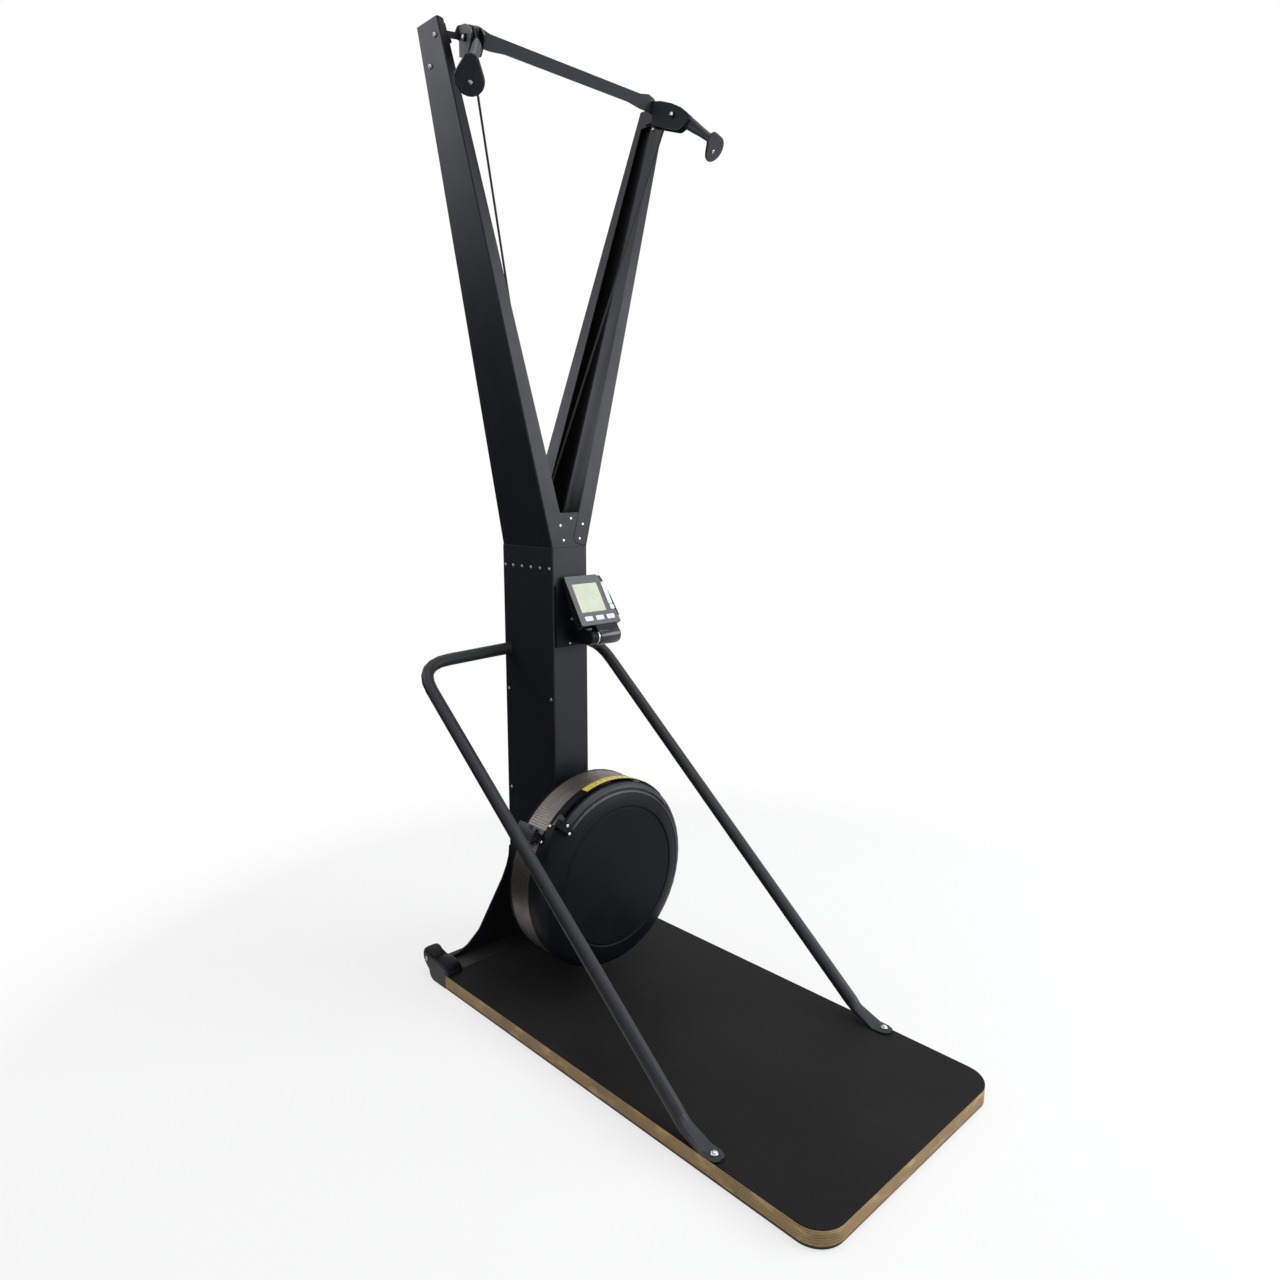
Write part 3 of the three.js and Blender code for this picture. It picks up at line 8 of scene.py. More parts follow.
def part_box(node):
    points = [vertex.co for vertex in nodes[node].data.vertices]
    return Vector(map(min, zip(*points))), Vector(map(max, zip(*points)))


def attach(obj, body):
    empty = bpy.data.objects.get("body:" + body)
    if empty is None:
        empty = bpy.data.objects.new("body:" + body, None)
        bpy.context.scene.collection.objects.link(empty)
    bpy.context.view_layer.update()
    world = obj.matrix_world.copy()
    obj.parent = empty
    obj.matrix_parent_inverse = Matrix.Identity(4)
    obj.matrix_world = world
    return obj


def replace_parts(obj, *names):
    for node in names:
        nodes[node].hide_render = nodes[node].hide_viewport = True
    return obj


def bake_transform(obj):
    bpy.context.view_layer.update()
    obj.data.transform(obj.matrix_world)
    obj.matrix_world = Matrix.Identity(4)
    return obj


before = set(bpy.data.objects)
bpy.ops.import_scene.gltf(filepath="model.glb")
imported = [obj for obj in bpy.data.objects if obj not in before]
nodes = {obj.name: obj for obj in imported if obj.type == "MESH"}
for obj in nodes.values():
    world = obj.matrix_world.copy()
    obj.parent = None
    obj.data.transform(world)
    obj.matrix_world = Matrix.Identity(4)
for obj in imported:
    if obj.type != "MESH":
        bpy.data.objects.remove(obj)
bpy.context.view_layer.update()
mm = 0.001
axleHeight = 312  # of the flywheel above the floor, in millimetres
print("frame loaded:", len(nodes), "nodes")

# Camera, set to the photograph's place, direction and field of view
cameraSet = {
    "place": (-1.42717, -1.36250, 1.25746),  # metres
    "heading": 43.8304,  # degrees from +Y towards +X
    "pitch": 9.8276,  # degrees down
    "roll": 0.0984,
    "focalPixels": 926.27,
    "imagePixels": 1280,
    "sensor": 36,
    "farthest": 100,
}


def makeCamera():
    heading, pitch, roll = (math.radians(cameraSet[key]) for key in ("heading", "pitch", "roll"))
    level = Vector((math.cos(heading), -math.sin(heading), 0))
    reach = math.cos(pitch)
    ahead = Vector((math.sin(heading) * reach, math.cos(heading) * reach, -math.sin(pitch)))
    upright = level.cross(ahead)
    right = level * math.cos(roll) + upright * math.sin(roll)
    up = upright * math.cos(roll) - level * math.sin(roll)
    data = bpy.data.cameras.new("photoCamera")
    data.sensor_width = cameraSet["sensor"]
    data.lens = cameraSet["sensor"] * cameraSet["focalPixels"] / cameraSet["imagePixels"]
    data.clip_end = cameraSet["farthest"]
    camera = bpy.data.objects.new("photoCamera", data)
    bpy.context.scene.collection.objects.link(camera)
    camera.rotation_euler = Matrix((right, up, -ahead)).transposed().to_euler()
    camera.location = cameraSet["place"]
    bpy.context.scene.camera = camera


makeCamera()
print("camera placed")


# Shader nodes: Wire lets values be worked out as expressions, Shader holds one node tree
class Wire:
    def __init__(self, shader, socket):
        self.shader = shader
        self.socket = socket

    def math(self, operation, *values):
        return self.shader.node("ShaderNodeMath", {"operation": operation}, dict(enumerate(values)))

    def __add__(self, other):
        return self.math("ADD", self, other)

    def __sub__(self, other):
        return self.math("SUBTRACT", self, other)

    def __rsub__(self, other):
        return self.math("SUBTRACT", other, self)

    def __mul__(self, other):
        return self.math("MULTIPLY", self, other)

    __radd__ = __add__
    __rmul__ = __mul__

    def above(self, level):
        return self.math("GREATER_THAN", self, level)

    def most(self, other):
        return self.math("MAXIMUM", self, other)

    def fraction(self):
        return self.math("FRACT", self)

    def unsigned(self):
        return self.math("ABSOLUTE", self)

    def swing(self, amount):  # for noise, which lies about one half
        return (self - 0.5) * amount

    def ramp(self, low, high):  # 0 below low, 1 above high
        ends = {"Value": self, "From Min": low, "From Max": high}
        return self.shader.node("ShaderNodeMapRange", {"interpolation_type": "SMOOTHSTEP"}, ends)


class Shader:
    def __init__(self, tree):
        self.tree = tree

    def node(self, kind, settings=None, sockets=None, out=0):
        made = self.tree.nodes.new(kind)
        for key, value in (settings or {}).items():
            setattr(made, key, value)
        for key, value in (sockets or {}).items():
            self.feed(made.inputs[key], value)
        if len(made.outputs):
            return Wire(self, made.outputs[out])

    def feed(self, socket, value):
        if isinstance(value, Wire):
            self.tree.links.new(value.socket, socket)
        elif hasattr(value, "__len__") and len(value) == 3 and socket.type == "RGBA":
            socket.default_value = (*value, 1)
        else:
            socket.default_value = value

    def mix(self, factor, first, second):
        return self.node("ShaderNodeMix", {"data_type": "RGBA"}, {0: factor, 6: first, 7: second}, 2)

    def cover(self, colour, mask, coat):  # coat with a spread, a share and a tone
        return self.mix(mask.ramp(*coat["spread"]) * coat["share"], colour, coat["tone"])

    def here(self, out="Object"):
        return self.node("ShaderNodeTexCoord", out=out)

    def place(self, stretch=(1, 1, 1)):
        return self.node("ShaderNodeMapping", {}, {"Vector": self.here(), "Scale": stretch})

    def noise(self, scale, detail=2, stretch=(1, 1, 1), rough=0.5):
        spots = {"Vector": self.place(stretch), "Scale": scale, "Detail": detail, "Roughness": rough}
        return self.node("ShaderNodeTexNoise", {}, spots)

    def cells(self, scale):
        return self.node("ShaderNodeTexVoronoi", {}, {"Vector": self.place(), "Scale": scale})

    def waves(self, way, sockets):
        return self.node("ShaderNodeTexWave", {"bands_direction": way}, {"Vector": self.place(), **sockets})

    def bump(self, height, depth, strength, below=None):
        sockets = {"Height": height, "Distance": depth, "Strength": strength}
        if below:
            sockets["Normal"] = below
        return self.node("ShaderNodeBump", {}, sockets)

    def along(self, direction, way):  # how far a vector points along a fixed way
        return self.node("ShaderNodeVectorMath", {"operation": "DOT_PRODUCT"}, {0: direction, 1: way}, 1)

    def heightOf(self, vector):
        return self.node("ShaderNodeSeparateXYZ", {}, {0: vector}, 2)

    def ray(self, kind):
        return self.node("ShaderNodeLightPath", out=f"Is {kind} Ray")


class Finish(Shader):
    def __init__(self, name, fixed):
        self.material = bpy.data.materials.new(name)
        self.material.use_nodes = True
        super().__init__(self.material.node_tree)
        self.surface = self.tree.nodes["Principled BSDF"]
        self.set(fixed)

    def set(self, values):
        for key, value in values.items():
            self.feed(self.surface.inputs[key], value)
        return self.material


def shade(tone, share):
    return [part * share for part in tone]


# In the finishes, a noise is (scale, detail, stretch, roughness), a bump is (depth in metres, strength),
# and a spread is the pair of values between which a mask goes from 0 to 1

# Powder coat: fine grain on a slow ripple, uneven gloss, and dust on faces that look up
paintSet = {
    "speckleDetail": 3,
    "speckleSpread": (0.35, 0.7),
    "speckleTone": 1.35,  # lightest speckle, as a share of the tone
    "cloud": (6, 4, (1, 1, 1), 0.6),
    "cloudRough": 0.16,
    "smear": (22, 3, (1, 1, 0.25)),
    "smearRough": 0.12,
    "dust": (0.06, 0.059, 0.056),
    "dustShare": 0.15,
    "dustUpward": (0.6, 1),
    "dustSpread": (0.4, 0.7),
    "grainBump": (0.00006, 0.55),  # depth for each millimetre of grain
    "ripple": (160, 2),
    "rippleBump": (0.00008, 0.25),
}


def paintedSteel(name, tone, grain, rough, gloss):
    paint = Finish(name, {"Specular IOR Level": gloss})
    speckle = paint.noise(1000 / grain, paintSet["speckleDetail"])
    cloud = paint.noise(*paintSet["cloud"])
    smear = paint.noise(*paintSet["smear"])
    facingUp = paint.heightOf(paint.node("ShaderNodeNewGeometry", out="Normal"))
    dust = facingUp.ramp(*paintSet["dustUpward"]) * cloud.ramp(*paintSet["dustSpread"])
    lightest = shade(tone, paintSet["speckleTone"])
    colour = paint.mix(speckle.ramp(*paintSet["speckleSpread"]), tone, lightest)
    depth, strength = paintSet["grainBump"]
    grainBump = paint.bump(speckle, depth * grain, strength)
    return paint.set({
        "Base Color": paint.mix(dust * paintSet["dustShare"], colour, paintSet["dust"]),
        "Roughness": rough + cloud.swing(paintSet["cloudRough"]) + smear.swing(paintSet["smearRough"]),
        "Normal": paint.bump(paint.noise(*paintSet["ripple"]), *paintSet["rippleBump"], grainBump),
    })


# Moulded plastic: pebbled skin with cloudy gloss
plasticSet = {
    "cloud": (14, 4),
    "cloudSpread": (0.3, 0.75),
    "cloudRough": 0.18,
    "grainBump": (0.00005, 0.4),  # depth for each millimetre of grain
}


def mouldedPlastic(name, tone, rough, grain=1.1, gloss=0.5, lift=1.25):  # lift is the lightest cloud
    plastic = Finish(name, {"Specular IOR Level": gloss})
    cloud = plastic.noise(*plasticSet["cloud"])
    depth, strength = plasticSet["grainBump"]
    return plastic.set({
        "Base Color": plastic.mix(cloud.ramp(*plasticSet["cloudSpread"]), tone, shade(tone, lift)),
        "Roughness": rough + cloud.swing(plasticSet["cloudRough"]),
        "Normal": plastic.bump(plastic.cells(1000 / grain), depth * grain, strength),
    })


# Bare metal: brushed, with duller stains
metalSet = {
    "brushDetail": 4,
    "brushRough": 0.2,
    "brushBump": (0.00004, 0.35),
    "stain": (30, 3),
    "stainSpread": (0.45, 0.8),
    "stainTone": 0.72,
    "stainRough": 0.1,
    "stainRoughSpread": (0.5, 0.8),
}


def metal(name, tone, rough, stretch=(1, 1, 1), scale=260):
    shine = Finish(name, {"Metallic": 1})
    brushed = shine.noise(scale, metalSet["brushDetail"], stretch)
    stain = shine.noise(*metalSet["stain"])
    stained = shade(tone, metalSet["stainTone"])
    dull = stain.ramp(*metalSet["stainRoughSpread"]) * metalSet["stainRough"]
    return shine.set({
        "Base Color": shine.mix(stain.ramp(*metalSet["stainSpread"]), tone, stained),
        "Roughness": rough + brushed.swing(metalSet["brushRough"]) + dull,
        "Normal": shine.bump(brushed, *metalSet["brushBump"]),
    })


# Plywood edge: plies along and across the grain in turn, glue lines, stains, pale streaks, dark foot line
plywoodSet = {
    "gloss": 0.35,
    "rough": 0.55,
    "plies": 13,
    "thick": 0.033,
    "waver": (9, 3, (1, 1, 0.2)),
    "waverHeight": 0.0012,
    "fibre": (55, 6, (1, 1, 22), 0.65),
    "fibreSpread": (0.3, 0.7),
    "fibreRough": 0.25,
    "pores": (420, 4, (1, 1, 0.35), 0.7),
    "poreSpread": (0.35, 0.65),
    "poreBump": (0.00015, 0.4),
    "layerBump": (0.0002, 0.3),
    "along": ((0.44, 0.3, 0.125), (0.28, 0.17, 0.065)),
    "across": ((0.25, 0.155, 0.06), (0.14, 0.082, 0.033)),
    "acrossShare": 0.85,
    "glue": {"spread": (0.4, 0.49), "share": 0.7, "tone": (0.10, 0.055, 0.028)},
    "stain": {"spread": (0.45, 0.75), "share": 0.6, "tone": (0.10, 0.055, 0.028)},
    "stainNoise": (7, 4, (1, 1, 1), 0.65),
    "streak": {"spread": (0.5, 0.68), "share": 0.7, "tone": (0.52, 0.36, 0.14)},
    "streakNoise": (16, 5, (1, 1, 2.5), 0.6),
    "foot": (0.006, 0.006, 0.006),
    "footSpread": (0.0024, 0.0034),  # heights above the underside of the board
}


def plywoodEdges():
    wood = Finish("birchPlywood", {"Specular IOR Level": plywoodSet["gloss"]})
    height = wood.heightOf(wood.here())
    waver = wood.noise(*plywoodSet["waver"]).swing(plywoodSet["waverHeight"])
    plies = (height + waver) * (plywoodSet["plies"] / plywoodSet["thick"])
    layer = plies.fraction()
    crosswise = (plies * 0.5).fraction().above(0.5)  # every second ply
    fibre = wood.noise(*plywoodSet["fibre"])
    pores = wood.noise(*plywoodSet["pores"])
    along = wood.mix(fibre.ramp(*plywoodSet["fibreSpread"]), *plywoodSet["along"])
    across = wood.mix(pores.ramp(*plywoodSet["poreSpread"]), *plywoodSet["across"])
    colour = wood.mix(crosswise * plywoodSet["acrossShare"], along, across)
    colour = wood.cover(colour, (layer - 0.5).unsigned(), plywoodSet["glue"])
    colour = wood.cover(colour, wood.noise(*plywoodSet["stainNoise"]), plywoodSet["stain"])
    colour = wood.cover(colour, wood.noise(*plywoodSet["streakNoise"]), plywoodSet["streak"])
    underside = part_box("deck_board")[0].z
    aboveFoot = height.ramp(*(underside + rise for rise in plywoodSet["footSpread"]))
    layerBump = wood.bump(layer, *plywoodSet["layerBump"])
    return wood.set({
        "Base Color": wood.mix(aboveFoot, plywoodSet["foot"], colour),
        "Roughness": plywoodSet["rough"] + fibre.swing(plywoodSet["fibreRough"]),
        "Normal": wood.bump(pores, *plywoodSet["poreBump"], layerBump),
    })


# Film on the deck: gritty black, worn lighter in streaks that run from front to back
deckSet = {
    "gloss": 0.1,
    "rough": 0.62,
    "tones": ((0.0075, 0.0074, 0.0076), (0.0125, 0.0122, 0.0122)),
    "cloud": (3.2, 5, (1, 1, 1), 0.6),
    "cloudSpread": (0.3, 0.7),
    "cloudRough": 0.2,
    "scuff": (26, 5, (1, 0.18, 1), 0.7),
    "scuffSpread": (0.56, 0.74),
    "worn": (0.03, 0.029, 0.028),
    "wornSpread": (0.42, 0.62),
    "wornShare": 0.4,
    "wornRough": 0.1,
    "gritScale": 520,
    "gritBump": (0.00022, 0.6),
}


def deckFilm():
    film = Finish("deckFilm", {"Specular IOR Level": deckSet["gloss"]})
    cloud = film.noise(*deckSet["cloud"])
    scuff = film.noise(*deckSet["scuff"])
    worn = scuff.ramp(*deckSet["scuffSpread"]) * cloud.ramp(*deckSet["wornSpread"])
    colour = film.mix(cloud.ramp(*deckSet["cloudSpread"]), *deckSet["tones"])
    return film.set({
        "Base Color": film.mix(worn * deckSet["wornShare"], colour, deckSet["worn"]),
        "Roughness": deckSet["rough"] + cloud.swing(deckSet["cloudRough"]) + worn * deckSet["wornRough"],
        "Normal": film.bump(film.cells(deckSet["gritScale"]), *deckSet["gritBump"]),
    })


# Rubber: crumbly, with dust in patches
rubberSet = {
    "gloss": 0.3,
    "rough": 0.72,
    "dust": {"spread": (0.45, 0.8), "share": 0.6, "tone": (0.05, 0.047, 0.043)},
    "dustNoise": (24, 4, (1, 1, 1), 0.7),
    "dustRough": 0.2,
    "crumb": (700, 3),
    "crumbBump": (0.0002, 0.5),
}


def rubber(name, tone):
    tyre = Finish(name, {"Specular IOR Level": rubberSet["gloss"]})
    dust = tyre.noise(*rubberSet["dustNoise"])
    return tyre.set({
        "Base Color": tyre.cover(tone, dust, rubberSet["dust"]),
        "Roughness": rubberSet["rough"] + dust.swing(rubberSet["dustRough"]),
        "Normal": tyre.bump(tyre.noise(*rubberSet["crumb"]), *rubberSet["crumbBump"]),
    })


# Cord: slanting strands with a little fuzz
braidSet = {
    "gloss": 0.3,
    "rough": 0.7,
    "tones": ((0.008, 0.008, 0.009), (0.026, 0.026, 0.028)),
    "strands": {"Scale": 260, "Distortion": 1.5, "Detail": 2},
    "fuzz": (1400, 3),
    "fuzzRough": 0.2,
    "fuzzHeight": 0.3,
    "bump": (0.0004, 0.7),
}


def braidedCord():
    braid = Finish("braidedCord", {"Specular IOR Level": braidSet["gloss"]})
    strands = braid.waves("DIAGONAL", braidSet["strands"])
    fuzz = braid.noise(*braidSet["fuzz"])
    return braid.set({
        "Base Color": braid.mix(strands, *braidSet["tones"]),
        "Roughness": braidSet["rough"] + fuzz.swing(braidSet["fuzzRough"]),
        "Normal": braid.bump(strands + fuzz * braidSet["fuzzHeight"], *braidSet["bump"]),
    })


# Console axes in metres from its pivot, and the grey face: only where it faces out, above faceFrom
consoleSet = {
    "pivot": Vector((0, 0.307, 0.883)),
    "outward": Vector((0, -0.857, 0.515)),
    "upward": Vector((0, 0.515, 0.857)),
    "faceFrom": 0.0185,
    "faceEdge": 0.002,
    "facing": (0.72, 0.95),
    "grey": (0.115, 0.117, 0.121),
    "black": (0.007, 0.0075, 0.0085),
    "gloss": 0.35,
    "roughBlack": 0.28,
    "roughMoreOnGrey": 0.22,
    "cloud": (30, 4),
    "cloudSpread": (0.3, 0.75),
    "cloudTone": 1.1,
    "cloudRough": 0.15,
    "grain": (900, 3),
    "grainBump": (0.00005, 0.4),
}


def consoleShell():
    shell = Finish("consolePlastic", {"Specular IOR Level": consoleSet["gloss"]})
    ahead = shell.along(shell.here("Normal"), consoleSet["outward"])
    rise = shell.along(shell.here(), consoleSet["upward"])
    start = consoleSet["pivot"] + consoleSet["upward"] * consoleSet["faceFrom"]
    level = start.dot(consoleSet["upward"])
    onFace = ahead.ramp(*consoleSet["facing"]) * rise.ramp(level, level + consoleSet["faceEdge"])
    cloud = shell.noise(*consoleSet["cloud"])
    lightest = shade(consoleSet["grey"], consoleSet["cloudTone"])
    pale = shell.mix(cloud.ramp(*consoleSet["cloudSpread"]), consoleSet["grey"], lightest)
    rough = consoleSet["roughBlack"] + onFace * consoleSet["roughMoreOnGrey"]
    return shell.set({
        "Base Color": shell.mix(onFace, consoleSet["black"], pale),
        "Roughness": rough + cloud.swing(consoleSet["cloudRough"]),
        "Normal": shell.bump(shell.noise(*consoleSet["grain"]), *consoleSet["grainBump"]),
    })


# Console window: pale display with faint rows behind smudged glass
displaySet = {
    "gloss": 0.5,
    "rough": 0.16,
    "coat": 0.5,
    "coatRough": 0.05,
    "tones": ((0.60, 0.66, 0.50), (0.68, 0.73, 0.58)),
    "veil": (40, 3),
    "veilSpread": (0.3, 0.8),
    "rows": {"Scale": 220},
    "rowTone": (0.45, 0.5, 0.38),
    "rowShare": 0.06,
    "smudge": (60, 4, (1, 1, 1), 0.7),
    "smudgeSpread": (0.5, 0.8),
    "smudgeRough": 0.2,
}


def displayGlass():
    fixed = {"Specular IOR Level": displaySet["gloss"], "Coat Roughness": displaySet["coatRough"]}
    glass = Finish("displayWindow", fixed)
    veil = glass.noise(*displaySet["veil"]).ramp(*displaySet["veilSpread"])
    rows = glass.waves("X", displaySet["rows"]) * displaySet["rowShare"]
    smudge = glass.noise(*displaySet["smudge"]).ramp(*displaySet["smudgeSpread"])
    return glass.set({
        "Base Color": glass.mix(rows, glass.mix(veil, *displaySet["tones"]), displaySet["rowTone"]),
        "Roughness": displaySet["rough"] + smudge * displaySet["smudgeRough"],
        "Coat Weight": displaySet["coat"],
    })


framePaint = paintedSteel("framePowderCoat", (0.0085, 0.009, 0.0105), 1.1, 0.42, 0.24)
railPaint = paintedSteel("railPowderCoat", (0.011, 0.012, 0.013), 1.6, 0.5, 0.35)
drumPlastic = mouldedPlastic("drumPlastic", (0.005, 0.0055, 0.007), 0.42, gloss=0.09)
rimPlastic = mouldedPlastic("drumRimPlastic", (0.010, 0.011, 0.013), 0.42, gloss=0.4)
seamBlack = mouldedPlastic("seamBlack", (0.002, 0.002, 0.0025), 0.7, gloss=0.05)
pulleyNylon = mouldedPlastic("pulleyNylon", (0.012, 0.012, 0.013), 0.4, 0.8)
collarPlastic = mouldedPlastic("collarPlastic", (0.006, 0.0065, 0.0075), 0.26, 0.9)
handlePlastic = mouldedPlastic("handlePlastic", (0.0095, 0.0125, 0.02), 0.45, 1.4, gloss=0.3)
consolePlastic = consoleShell()
keyPlastic = mouldedPlastic("keyPlastic", (0.74, 0.75, 0.76), 0.42, 0.7, lift=1.05)
labelYellow = mouldedPlastic("labelYellow", (0.66, 0.53, 0.075), 0.5, 0.9, lift=1.12)
labelInk = mouldedPlastic("labelInk", (0.02, 0.02, 0.018), 0.6)
bandSteel = metal("bandSteel", (0.24, 0.22, 0.195), 0.46, scale=400)
zincPlate = metal("zincPlate", (0.68, 0.69, 0.71), 0.24)
blackenedScrew = metal("blackenedScrew", (0.42, 0.43, 0.45), 0.26)
groundSteel = metal("groundSteel", (0.5, 0.51, 0.52), 0.28, (1, 0.1, 1))
castAluminium = metal("castAluminium", (0.52, 0.53, 0.54), 0.45, scale=700)
plywood = plywoodEdges()
deckSheet = deckFilm()
deckRubber = rubber("deckRubber", (0.012, 0.012, 0.012))
wheelRubber = rubber("wheelRubber", (0.014, 0.014, 0.0145))
cordBraid = braidedCord()
displayWindow = displayGlass()
print("finishes made")

# Finish, edge rounding in millimetres and material slot of each CAD node, left and right alike
nodeFinishes = {
    "deck_underlay": (deckRubber, 1, "deck_rubber"),
    "deck_board": (plywood, 0.8, "plywood"),
    "deck_top_sheet": (deckSheet, 0.7, "deck_sheet"),
    "rear_beam": (framePaint, 1, "powder_coat"),
    "flared_brace": (framePaint, 0.8, "powder_coat"),
    "column_shell": (framePaint, 0.8, "powder_coat"),
    "column_rear_cover": (framePaint, 0.8, "powder_coat"),
    "arm": (framePaint, 0.8, "powder_coat"),
    "joint_plate": (framePaint, 0.6, "powder_coat"),
    "crossbar": (framePaint, 0.8, "powder_coat"),
    "pulley_housing": (framePaint, 0.7, "powder_coat"),
    "top_pulley": (pulleyNylon, 0.4, "dark_plastic"),
    "pulley_pin": (framePaint, 0.5, "zinc"),
    "guide_bracket": (framePaint, 0.5, "powder_coat"),
    "guide_pulley": (pulleyNylon, 0.4, "dark_plastic"),
    "guide_pin": (groundSteel, 0.4, "bare_steel"),
    "drive_cord": (cordBraid, 0, "cord"),
    "pull_cord": (cordBraid, 0, "cord"),
    "handle_grip": (handlePlastic, 0.6, "handle_plastic"),
    "handle_plate": (handlePlastic, 0, "handle_plastic"),
    "flywheel_fan": (castAluminium, 0.3, "cast_aluminium"),
    "flywheel_axle": (groundSteel, 0.6, "bare_steel"),
    "front_bearing": (castAluminium, 0.5, "cast_aluminium"),
    "rear_bearing": (castAluminium, 0.5, "cast_aluminium"),
    "clutch_spool": (pulleyNylon, 0.5, "dark_plastic"),
    "drum_rear_shell": (drumPlastic, 0.6, "dark_plastic"),
    "drum_band": (bandSteel, 0.3, "band_steel"),
    "drum_front_cover": (drumPlastic, 0.6, "dark_plastic"),
    "damper_ring": (collarPlastic, 0.5, "dark_plastic"),
    "damper_scale": (labelYellow, 0.2, "scale_yellow"),
    "band_clamp": (collarPlastic, 0.6, "dark_plastic"),
    "drum_mount_plate": (framePaint, 0.6, "powder_coat"),
    "console_mount": (drumPlastic, 1, "dark_plastic"),
    "console_pivot_tube": (collarPlastic, 1.5, "dark_plastic"),
    "console_housing": (consolePlastic, 1, "console_grey"),
    "console_screen": (displayWindow, 0.3, "screen"),
    "console_button": (keyPlastic, 1, "key_white"),
    "console_side_key": (keyPlastic, 1, "key_white"),
    "console_small_key": (keyPlastic, 1, "key_white"),
    "rail": (railPaint, 0.6, "powder_coat"),
    "rail_bolt": (zincPlate, 0.6, "zinc"),
    "wheel": (wheelRubber, 0.8, "wheel_rubber"),
    "wheel_bracket": (framePaint, 0.8, "powder_coat"),
}
edgeSet = {"weld": 0.00001, "segments": 2, "sharperThan": 32}


def roundEdges(piece, width):
    for polygon in piece.data.polygons:
        polygon.use_smooth = True
    weld = piece.modifiers.new("weld", "WELD")
    weld.merge_threshold = edgeSet["weld"]
    if width:
        edges = piece.modifiers.new("edges", "BEVEL")
        edges.width = width * mm
        edges.segments = edgeSet["segments"]
        edges.limit_method = "ANGLE"
        edges.angle_limit = math.radians(edgeSet["sharperThan"])
        edges.use_clamp_overlap = True
    piece.modifiers.new("normals", "WEIGHTED_NORMAL")


def finishNodes():
    for name, node in nodes.items():
        key = name
        for end in ("_left", "_right", "_middle"):
            key = key if key in nodeFinishes else name.removesuffix(end)
        material, width, slotName = nodeFinishes[key]
        node.data.materials.clear()
        node.data.materials.append(material)
        roundEdges(node, width)


finishNodes()
print("CAD nodes finished")

# Outlines of cap screws and washers, as (share of radius, share of height)
screwShape = {
    "profile": ((1, 0), (1, 0.45), (0.88, 0.8), (0.62, 1), (0.5, 1), (0.47, 0.92), (0.45, 0.5), (0.05, 0.42)),
    "sides": 18,
}
washerShape = {"rim": ((0.94, 0), (1, 0.3), (1, 0.7), (0.94, 1)), "sides": 24}


# Mesh helpers: each Form gathers the faces of one piece
class Form:
    def __init__(self, name, material, body=None, slotName=None):
        self.name, self.material, self.body, self.slotName = name, material, body, slotName
        self.mesh = bmesh.new()

    def row(self, points):
        return [self.mesh.verts.new(point) for point in points]

    def join(self, first, second):
        count = len(first)
        for k in range(count):
            after = (k + 1) % count
            self.mesh.faces.new((first[k], first[after], second[after], second[k]))

    def skin(self, rings):  # rings joined one after another, closed at both ends
        for first, second in zip(rings, rings[1:]):
            self.join(first, second)
        self.mesh.faces.new(list(reversed(rings[0])))
        self.mesh.faces.new(rings[-1])

    def loft(self, rows):
        self.skin([self.row(points) for points in rows])

    def ringsAlong(self, at, axis, profile, sides):  # profile of (radius, height) along axis from at
        axis = Vector(axis).normalized()
        across = axis.orthogonal().normalized()
        up = axis.cross(across)
        turns = [2 * math.pi / sides * k for k in range(sides)]
        rings = []
        for radius, height in profile:
            centre = Vector(at) + axis * height
            rings.append(self.row(
                centre + across * (radius * math.cos(turn)) + up * (radius * math.sin(turn)) for turn in turns
            ))
        return rings

    def turned(self, at, axis, profile, sides):
        self.skin(self.ringsAlong(at, axis, profile, sides))

    def capScrew(self, at, axis, size):  # size with radius and height in millimetres
        radius, height = size["radius"] * mm, size["height"] * mm
        profile = [(radius * r, height * h) for r, h in screwShape["profile"]]
        self.turned(at, axis, profile, screwShape["sides"])

    def washer(self, at, axis, size):  # size with inner and outer radius and height in millimetres
        inner, outer, height = (size[key] * mm for key in ("inner", "outer", "height"))
        rim = [(outer * r, height * h) for r, h in washerShape["rim"]]
        rings = self.ringsAlong(at, axis, [(inner, 0), *rim, (inner, height)], washerShape["sides"])
        for first, second in zip(rings, rings[1:] + rings[:1]):
            self.join(first, second)

    def made(self, smoothBelow=40):  # edges sharper than this many degrees stay sharp
        bmesh.ops.recalc_face_normals(self.mesh, faces=self.mesh.faces)
        for face in self.mesh.faces:
            face.smooth = True
        for edge in self.mesh.edges:
            if len(edge.link_faces) == 2 and edge.calc_face_angle(0) > math.radians(smoothBelow):
                edge.smooth = False
        data = bpy.data.meshes.new(self.name)
        self.mesh.to_mesh(data)
        self.mesh.free()
        data.materials.append(self.material)
        piece = bpy.data.objects.new(self.name, data)
        bpy.context.scene.collection.objects.link(piece)
        if self.body:
            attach(piece, self.body)
        return piece


def metres(*point):
    return Vector(point) * mm


def placeScrews(name, material, body, size, places):  # places of (point in metres, axis)
    screws = Form(name, material, body, "zinc")
    for at, axis in places:
        screws.capScrew(at, axis, size)
    return screws.made()


# Screws on the column, arms and joint plate, and at the back; heights are above the floor
columnScrews = {
    "side": 54,
    "rowHeight": 1046,
    "rowDepths": (381, 417, 453, 489, 525, 558),
    "singles": ((555, 727), (381, 726), (553, 462)),  # depth and height
    "radius": 4.2,
    "height": 2.4,
}


